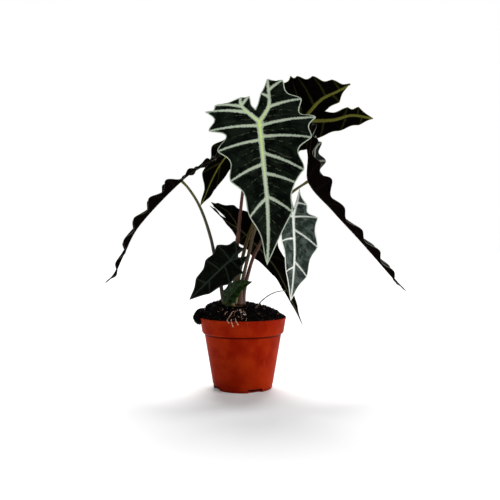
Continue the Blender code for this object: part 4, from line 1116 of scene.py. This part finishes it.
def fibre(graph):
    """A bent root fibre about one unit long."""
    line = graph.node("GeometryNodeCurveQuadraticBezier", {},
                      {"Resolution": 6, "Start": (-0.5, 0.0, 0.0), "Middle": (0.0, 0.45, 0.2),
                       "End": (0.5, 0.0, 0.0)})
    ring = graph.node("GeometryNodeCurvePrimitiveCircle", {}, {"Resolution": 5, "Radius": 0.045})
    return graph.node("GeometryNodeCurveToMesh", {},
                      {"Curve": line, "Profile Curve": ring, "Fill Caps": True})


def patch_of_soil(name, inside, sides=48, rings=24):
    """The part of the mound where inside(x, y) is true, as ground for scattered bits."""
    builder = bmesh.new()
    grid = {}
    limit = RIM_RADIUS - WALL - 1.0 * MM
    for i in range(rings + 1):
        for j in range(sides):
            x, y, _ = polar(limit * i / rings, j / sides * 2 * math.pi)
            grid[i, j] = builder.verts.new((x, y, float(mound_height(x, y))))
    for i in range(rings):
        for j in range(sides):
            k = (j + 1) % sides
            corners = [grid[i, j], grid[i + 1, j], grid[i + 1, k], grid[i, k]]
            middle = sum((corner.co for corner in corners), Vector()) / 4
            if i and inside(middle.x, middle.y):
                builder.faces.new(corners)
    return mesh_from(name, builder)


def make_crown(material):
    """The swollen stem base, ringed with the scars of old stalks."""
    low = CROWN_SHOULDER - CROWN_DEPTH
    points = []
    for i in range(CROWN_RINGS + 1):
        up = i / CROWN_RINGS
        radius = CROWN_RADIUS * math.sin(math.acos(max(0.0, (up - 0.45) / 0.55)))
        radius *= 1 + 0.05 * math.sin(up * 44)
        height = low + (CROWN_SHOULDER + CROWN_RISE - low) * up
        for j in range(CROWN_SIDES):
            angle = j / CROWN_SIDES * 2 * math.pi
            push = noise.fractal(Vector(polar(1.0, angle, up * 3)) * 2.5, 0.8, 2.0, 3)
            points.append(polar(radius * (1 + 0.08 * push), angle, height, CROWN_PLACE))
    foot = len(points)
    points.append((*CROWN_PLACE, low))
    faces = ring_faces(CROWN_RINGS + 1, CROWN_SIDES)
    faces += fan_faces(foot, 0, CROWN_SIDES, flip=True)
    builder = bmesh.new()
    builder.from_mesh(mesh_of("crown_rings", points, faces))
    bmesh.ops.remove_doubles(builder, verts=builder.verts, dist=0.01 * MM)
    finish_piece("crown_stem_base", mesh_from("crown", builder), material, ["crown"])


def crown_finish():
    """Ringed brown bark with pale spots."""
    bark = Finish("crown skin", {"Specular IOR Level": 0.2})
    stretched = bark.node("ShaderNodeMapping", {}, {"Vector": bark.place,
                                                    "Scale": (200.0, 200.0, 900.0)})
    rings, spots = bark.noise(1.0, 4.0, where=stretched), bark.noise(500.0, 3.0)
    colour = bark.mix(bark.rise(rings, 0.35, 0.65), tone(36, 22, 16), tone(96, 66, 44))
    colour = bark.mix(bark.rise(spots, 0.6, 0.7) * 0.5, colour, tone(140, 112, 84))
    return bark.paint(colour, 0.75, rings + spots * 0.4, 0.6 * MM, 0.9)


# Each scale leaf: its angle on the crown, half its spread in degrees, its height and how far
# it has withered.
SHEATHS = {
    "sheath_front": (-92, 14, 20.0 * MM, 1.0),
    "sheath_right": (18, 14, 13.0 * MM, 0.8),
    "sheath_back": (85, 22, 22.0 * MM, 0.9),
}


def make_sheath(name, angle, spread, height, material, wither):
    """A dry scale leaf round the foot of the stalks: a curved strip with a torn, rolled edge."""
    rows, columns, thick = 36, 22, 0.35 * MM
    radius = CROWN_RADIUS + 0.6 * MM
    turn = math.radians(angle)
    foot = float(mound_height(*polar(radius, turn, 0.0, CROWN_PLACE)[:2]))
    skins = []
    for offset in (thick, -thick):
        for row in range(rows + 1):
            up = row / rows
            half = math.radians(spread) * (1 - up ** 2.2) + math.radians(1.2)
            for column in range(columns + 1):
                across = 2 * column / columns - 1
                ragged = 1 + 0.16 * lumpy((up * 9, across * 3, angle), 1.0, 1.0) * abs(across)
                here = turn + half * across * ragged
                lean = 1 - 0.10 * up + 0.05 * wither * math.sin(up * 6 + across * 2)
                out = (radius + offset + 1.2 * MM * across ** 2 * up) * lean
                rise = 0.5 * MM + height * up * (1 - 0.05 * across ** 2)
                skins.append(polar(out, here, foot + rise, CROWN_PLACE))
    wide, count = columns + 1, (rows + 1) * (columns + 1)
    faces = []
    for row in range(rows):
        for column in range(columns):
            a = row * wide + column
            faces.append([a, a + 1, a + 1 + wide, a + wide])
            faces.append([count + a + wide, count + a + 1 + wide, count + a + 1, count + a])
    loop = ([column for column in range(columns)]
            + [row * wide + columns for row in range(rows)]
            + [rows * wide + column for column in range(columns, 0, -1)]
            + [row * wide for row in range(rows, 0, -1)])
    for a, b in zip(loop, loop[1:] + loop[:1]):
        faces.append([b, a, a + count, b + count])
    along = [row / rows for _ in range(2) for row in range(rows + 1) for _ in range(wide)]
    around = [column / columns for _ in range(2 * (rows + 1)) for column in range(wide)]
    piece_of(name + "_scale", skins, faces, {"along": along, "around": around},
             material, "sheath_papery", [name])


def sheath_finish():
    """Dry papery tissue: long fibres, straw at the foot and brown at the tip."""
    paper = Finish("dry scale leaf", {"Specular IOR Level": 0.25, "Subsurface Weight": 0.05,
                                      "Subsurface Radius": (0.003, 0.002, 0.001)})
    along, around = paper.attribute("along"), paper.attribute("around")
    fibre_line = paper.noise(1.0, 3.0, where=paper.along(around * 60.0, along * 3.0, 0.0))
    colour = paper.ramp(along, [(0, tone(120, 96, 60)), (0.5, tone(168, 152, 108)),
                                (1, tone(96, 66, 40))])
    colour = paper.mix(paper.rise(fibre_line, 0.45, 0.62) * 0.6, colour, tone(84, 58, 36))
    return paper.paint(colour, 0.62, fibre_line, 0.25 * MM, 0.7)


def rough_finish(name, dark, light, scale, roughness, depth):
    """A plain rough bit: two tones in soft patches with a grain."""
    bit = Finish(name, {"Specular IOR Level": 0.2})
    patches, grain = bit.noise(scale, 4.0), bit.noise(scale * 5, 3.0)
    colour = bit.mix(bit.rise(patches, 0.35, 0.65), dark, light)
    return bit.paint(colour, grain * 0.15 + roughness, patches + grain * 0.5, depth, 0.8)


def make_tube(name, points, radius, tip, material, slot, node, sides=14, wobble=0.06):
    """A small tapering tube through points: a shoot, root or rolled leaf."""
    route = Route(points)

    def radii(share, angles):
        knots = 1 + wobble * math.sin(share * 41) + wobble * np.cos(angles * 3 + share * 9)
        return (radius + (tip - radius) * share) * knots

    rings = max(16, int(route.length / (0.8 * MM)))
    made = swept(route, radii, sides, rings)
    piece_of(name, *made, material, slot, [node])


def make_shoot(material):
    """The thread-like shoot that rises from the soil and curves over to the right."""
    x, y = 15 * MM, -10 * MM
    base = [(x, y, float(mound_height(x, y)) - 1 * MM)]
    passing = MOUTH + np.array([(21, -10, 17), (26, -10, 23), (35, -10, 30), (44, -10, 34.5),
                                (53, -10, 36.5), (59, -10, 36.5)]) * MM
    make_tube("shoot", np.vstack([base, passing]), 1.0 * MM, 0.6 * MM, material,
              "thin_shoot_tissue", "thin_shoot", sides=12, wobble=0.04)


def make_new_leaf(material):
    """The lime-green leaf that is still rolled up between the stalks."""
    x, y = 4.7 * MM, -10.1 * MM
    base = [(CROWN_PLACE[0] + x, CROWN_PLACE[1] + y, crown_top(x, y) - 1 * MM)]
    passing = MOUTH + np.array([(-7, -19, 37), (-3, -24, 60), (-1, -26, 69)]) * MM
    make_tube("rolled_leaf", np.vstack([base, passing]), 2.2 * MM, 0.5 * MM, material,
              "new_leaf_green", "rolled_new_leaf", sides=20, wobble=0.05)


# Each root: its angle, how far inside the rim it starts and how far it hangs below the lip, in mm.
ROOTS = [(-104, 18, 7), (-98, 26, 4), (-109, 12, 2)]


def make_roots(material):
    """Pinkish roots that run over the lip and hang outside it."""
    for index, (angle, reach, drop) in enumerate(ROOTS, 1):
        turn = math.radians(angle)

        def place(radius, height, sway=0.0):
            return polar(radius, turn + sway / RIM_RADIUS, height)

        inner = RIM_RADIUS - reach * MM
        start = place(inner, 0.0, 2 * MM)
        points = [
            (start[0], start[1], float(mound_height(start[0], start[1])) + 1.2 * MM),
            place(RIM_RADIUS - 4 * MM, POT_HEIGHT + 2.2 * MM, -1 * MM),
            place(RIM_RADIUS + 0.8 * MM, POT_HEIGHT + 0.7 * MM),
            place(RIM_RADIUS + 1.4 * MM, POT_HEIGHT - drop * MM, 3 * MM),
        ]
        make_tube(f"root_{index}", points, 1.05 * MM, 0.6 * MM, material, "root_tissue",
                  f"surface_root_{index}", wobble=0.12)


# Each loose bit: its turn in degrees and its size in mm. Its place is its CAD node's.
CHIPS = {
    "bark_chip": [(-20, (5.0, 3.2, 2.2)), (-62, (4.2, 3.0, 2.0)),
                  (40, (5.6, 3.4, 2.4)), (130, (4.8, 3.0, 2.2))],
    "perlite_grain": [(-88, (3.0, 2.8, 2.4)), (-97, (2.6, 2.4, 2.2)),
                      (-130, (2.4, 2.2, 2.0)), (20, (2.8, 2.4, 2.2))],
}


def make_chips(kind, material, roughness):
    """Loose bits that lie on the soil, each with its own broken shape."""
    for index, (turn, size) in enumerate(CHIPS[kind], 1):
        low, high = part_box(f"{kind}_{index}")
        centre = (low + high) / 2
        spin = math.radians(turn) * 3
        builder = bmesh.new()
        bmesh.ops.create_icosphere(builder, subdivisions=4, radius=0.5)
        for vertex in builder.verts:
            push = noise.fractal(vertex.co * 2.4 + Vector((index * 7, turn, 0)), 0.8, 2.0, 4)
            local = vertex.co * (1 + roughness * push)
            px, py = local.x * size[0] * MM, local.y * size[1] * MM
            vertex.co = (centre.x + px * math.cos(spin) - py * math.sin(spin),
                         centre.y + px * math.sin(spin) + py * math.cos(spin),
                         centre.z + local.z * size[2] * MM)
        data = mesh_from(f"{kind}_piece_{index}", builder)
        finish_piece(f"{kind}_piece_{index}", data, material, [f"{kind}_{index}"])


def spill_section(angle):
    """The spilled peat's outline at an angle round the pot, from the mound over the lip."""
    def on_soil(radius):
        soil = float(mound_height(*polar(radius, angle)[:2]))
        return max(soil + 0.6 * MM, POT_HEIGHT + 0.3 * MM)

    inner, lip, top = RIM_RADIUS - SPILL_IN, RIM_RADIUS + 0.2 * MM, POT_HEIGHT + SPILL_RISE
    foot = POT_HEIGHT - SPILL_DROP
    return [
        (inner, on_soil(inner) + 1 * MM), (RIM_RADIUS - SPILL_IN / 2, top),
        (RIM_RADIUS + SPILL_OUT * 0.15, POT_HEIGHT + SPILL_RISE * 0.9),
        (RIM_RADIUS + SPILL_OUT * 0.7, POT_HEIGHT + SPILL_RISE * 0.5),
        (RIM_RADIUS + SPILL_OUT, POT_HEIGHT),
        (RIM_RADIUS + SPILL_OUT * 0.8, POT_HEIGHT - SPILL_DROP * 0.65),
        (RIM_RADIUS + SPILL_OUT * 0.25, foot), (RIM_RADIUS - 0.8 * MM, foot + 0.3 * MM),
        (lip, POT_HEIGHT - LIP), (lip, POT_HEIGHT + 0.3 * MM),
        (RIM_RADIUS - SPILL_IN / 4, on_soil(RIM_RADIUS - SPILL_IN / 4)),
        (RIM_RADIUS - SPILL_IN / 2, on_soil(RIM_RADIUS - SPILL_IN / 2)),
    ]


def make_spill(material):
    """Peat that crept over the lip on one side: a crumbly saddle from the mound to outside."""
    rows, count = 48, 72
    core = np.array([RIM_RADIUS + 1 * MM, POT_HEIGHT + 2 * MM])
    points = []
    for row in range(1, rows):
        across = 2 * row / rows - 1
        angle = math.radians(SPILL_DEGREES) + across * SPILL_WIDTH / 2 / RIM_RADIUS
        section = spill_section(angle)
        outline = Route([(r, z, 0) for r, z in section + section[:1]])
        loop = outline.at(np.arange(count) / count * outline.length)[0][:, :2]
        loop = core + (loop - core) * math.sqrt(1 - across ** 2)
        for radius, height in loop:
            x, y, _ = polar(radius, angle)
            free = min(1.0, max(0.0, math.dist((radius, height), core) / (6 * MM)))
            push = lumpy((x, y, height), 6 * MM, 1.5 * MM) + lumpy((x, y, height), 2 * MM, 0.6 * MM)
            out = radius + push * free * (1 if radius > RIM_RADIUS + 1 * MM else 0.2)
            points.append(polar(out, angle, height + push * 0.5 * free))
    near, far = len(points), len(points) + 1
    for side in (-1, 1):
        angle = math.radians(SPILL_DEGREES) + side * SPILL_WIDTH / 2 / RIM_RADIUS
        points.append(polar(core[0], angle, core[1]))
    faces = ring_faces(rows - 1, count) + fan_faces(near, 0, count, flip=True)
    faces += fan_faces(far, (rows - 2) * count, count)
    builder = bmesh.new()
    builder.from_mesh(mesh_of("spill_rings", points, faces))
    bmesh.ops.recalc_face_normals(builder, faces=builder.faces)
    data = mesh_from("spill", builder)
    finish_piece("spill", data, material, ["spilled_soil"])
    return data


# ================================================================ studio
FLOOR_GLOW = 0.14
WALL_SEEN = 1.0
FILL = 0.12
FLOOR_SIZE = 60
SENSOR_MM = 36
LENS_MM = 43.87
CAMERA_PLACE = (0.0098, -0.85, 0.191)

# Each light: its strength, how wide it looks in degrees and the way towards it.
LIGHTS = {"overhead": (4.3, 42, (0.03, 0.72, 1.0)), "key": (1.7, 50, (1.3, -0.7, 0.7))}


def make_studio():
    """A pale floor, soft light from above, right and front, and the camera."""
    scene = bpy.context.scene
    scene.view_settings.view_transform = "Standard"
    floor_paint = Finish("pale floor", {"Roughness": 0.9, "Specular IOR Level": 0.0,
                                        "Emission Color": (1, 1, 1, 1),
                                        "Emission Strength": FLOOR_GLOW,
                                        "Base Color": (0.8, 0.8, 0.8, 1)}).material
    bpy.ops.mesh.primitive_plane_add(size=FLOOR_SIZE)
    floor = bpy.context.object
    floor.name = "floor"
    floor.data.materials.append(floor_paint)
    world = bpy.data.worlds.new("studio")
    scene.world = world
    world.use_nodes = True
    graph = Graph(world.node_tree)
    seen = graph.node("ShaderNodeLightPath", output="Is Camera Ray")
    back = world.node_tree.nodes["Background"]
    back.inputs["Color"].default_value = (1, 1, 1, 1)
    graph.feed(back.inputs["Strength"], seen * (WALL_SEEN - FILL) + FILL)
    for name, (energy, degrees, way) in LIGHTS.items():
        data = bpy.data.lights.new(name, "SUN")
        data.energy = energy
        data.angle = math.radians(degrees)
        lamp = bpy.data.objects.new(name, data)
        scene.collection.objects.link(lamp)
        lamp.rotation_euler = Vector(way).to_track_quat("Z", "Y").to_euler()
    lens_data = bpy.data.cameras.new("camera")
    lens_data.sensor_width = SENSOR_MM
    lens_data.lens = LENS_MM
    camera = bpy.data.objects.new("camera", lens_data)
    camera.location = CAMERA_PLACE
    camera.rotation_euler = (math.radians(90), 0, 0)
    scene.collection.objects.link(camera)
    scene.camera = camera


# ================================================================ build
def outside_crown(x, y):
    """Soil that the crown leaves bare."""
    return math.hypot(x - CROWN_PLACE[0], y - CROWN_PLACE[1]) > CROWN_RADIUS * 0.8


def near_front_rim(x, y):
    """Soil by the front rim, where roots lie bare."""
    return y < -0.72 * RIM_RADIUS and abs(x + 9 * MM) < 14 * MM


def build():
    """Every piece of the plant, from the pot up to the leaves."""
    make_pot(pot_finish())
    peat = peat_finish()
    make_soil(peat)
    spill = make_spill(peat)
    all_over = patch_of_soil("soil_ground", outside_crown)
    scattered("peat_crumbs", all_over, peat, crumb, 4000, 0.8 * MM, 5.6 * MM, 3)
    scattered("spill_crumbs", spill.copy(), peat, crumb, 900, 0.7 * MM,
              3.4 * MM, 9)
    root_tone = rough_finish("root skin", tone(150, 96, 78), tone(214, 176, 150), 300.0, 0.6,
                             0.2 * MM)
    scattered("root_fibres", all_over.copy(), root_tone, fibre, 70, 3.0 * MM,
              8.0 * MM, 21, flatness=0.5, lift=0.6 * MM)
    by_front_rim = patch_of_soil("front_ground", near_front_rim)
    scattered("rim_fibres", by_front_rim, root_tone, fibre, 26, 5.0 * MM,
              10.0 * MM, 57, flatness=0.7, lift=1.6 * MM)
    bark_tone = rough_finish("bark bits", tone(58, 38, 24), tone(128, 94, 60), 240.0, 0.75,
                             0.4 * MM)
    perlite_tone = rough_finish("perlite", tone(176, 170, 160), tone(226, 222, 214), 400.0, 0.8,
                                0.4 * MM)
    scattered("bark_bits", all_over.copy(), bark_tone, crumb, 90, 1.0 * MM, 3.2 * MM,
              33, flatness=0.4, lift=0.4 * MM)
    scattered("perlite_bits", all_over.copy(), perlite_tone, crumb, 16, 0.7 * MM,
              1.4 * MM, 41, flatness=0.9, lift=0.5 * MM)
    make_chips("bark_chip", bark_tone, 0.35)
    make_chips("perlite_grain", perlite_tone, 0.4)
    make_crown(crown_finish())
    papery = sheath_finish()
    for name, (angle, spread, height, wither) in SHEATHS.items():
        make_sheath(name, angle, spread, height, papery, wither)
    make_roots(root_tone)
    make_shoot(stalk_finish("thin shoot skin", [(0, (150, 112, 96)), (0.4, (128, 118, 98)),
                                                (1, (112, 108, 92))]))
    make_new_leaf(stalk_finish("new leaf skin", [(0, (150, 150, 110)), (0.55, (84, 104, 48)),
                                                 (1, (134, 168, 52))]))
    for name in LEAVES:
        make_leaf(name, leaf_finish(name.replace("_", " ") + " skin", **LEAF_FINISHES[name]))
        make_stalk(name, stalk_finish(name.replace("leaf_", "") + " stalk skin", STALKS[name][3]))


build()
make_studio()
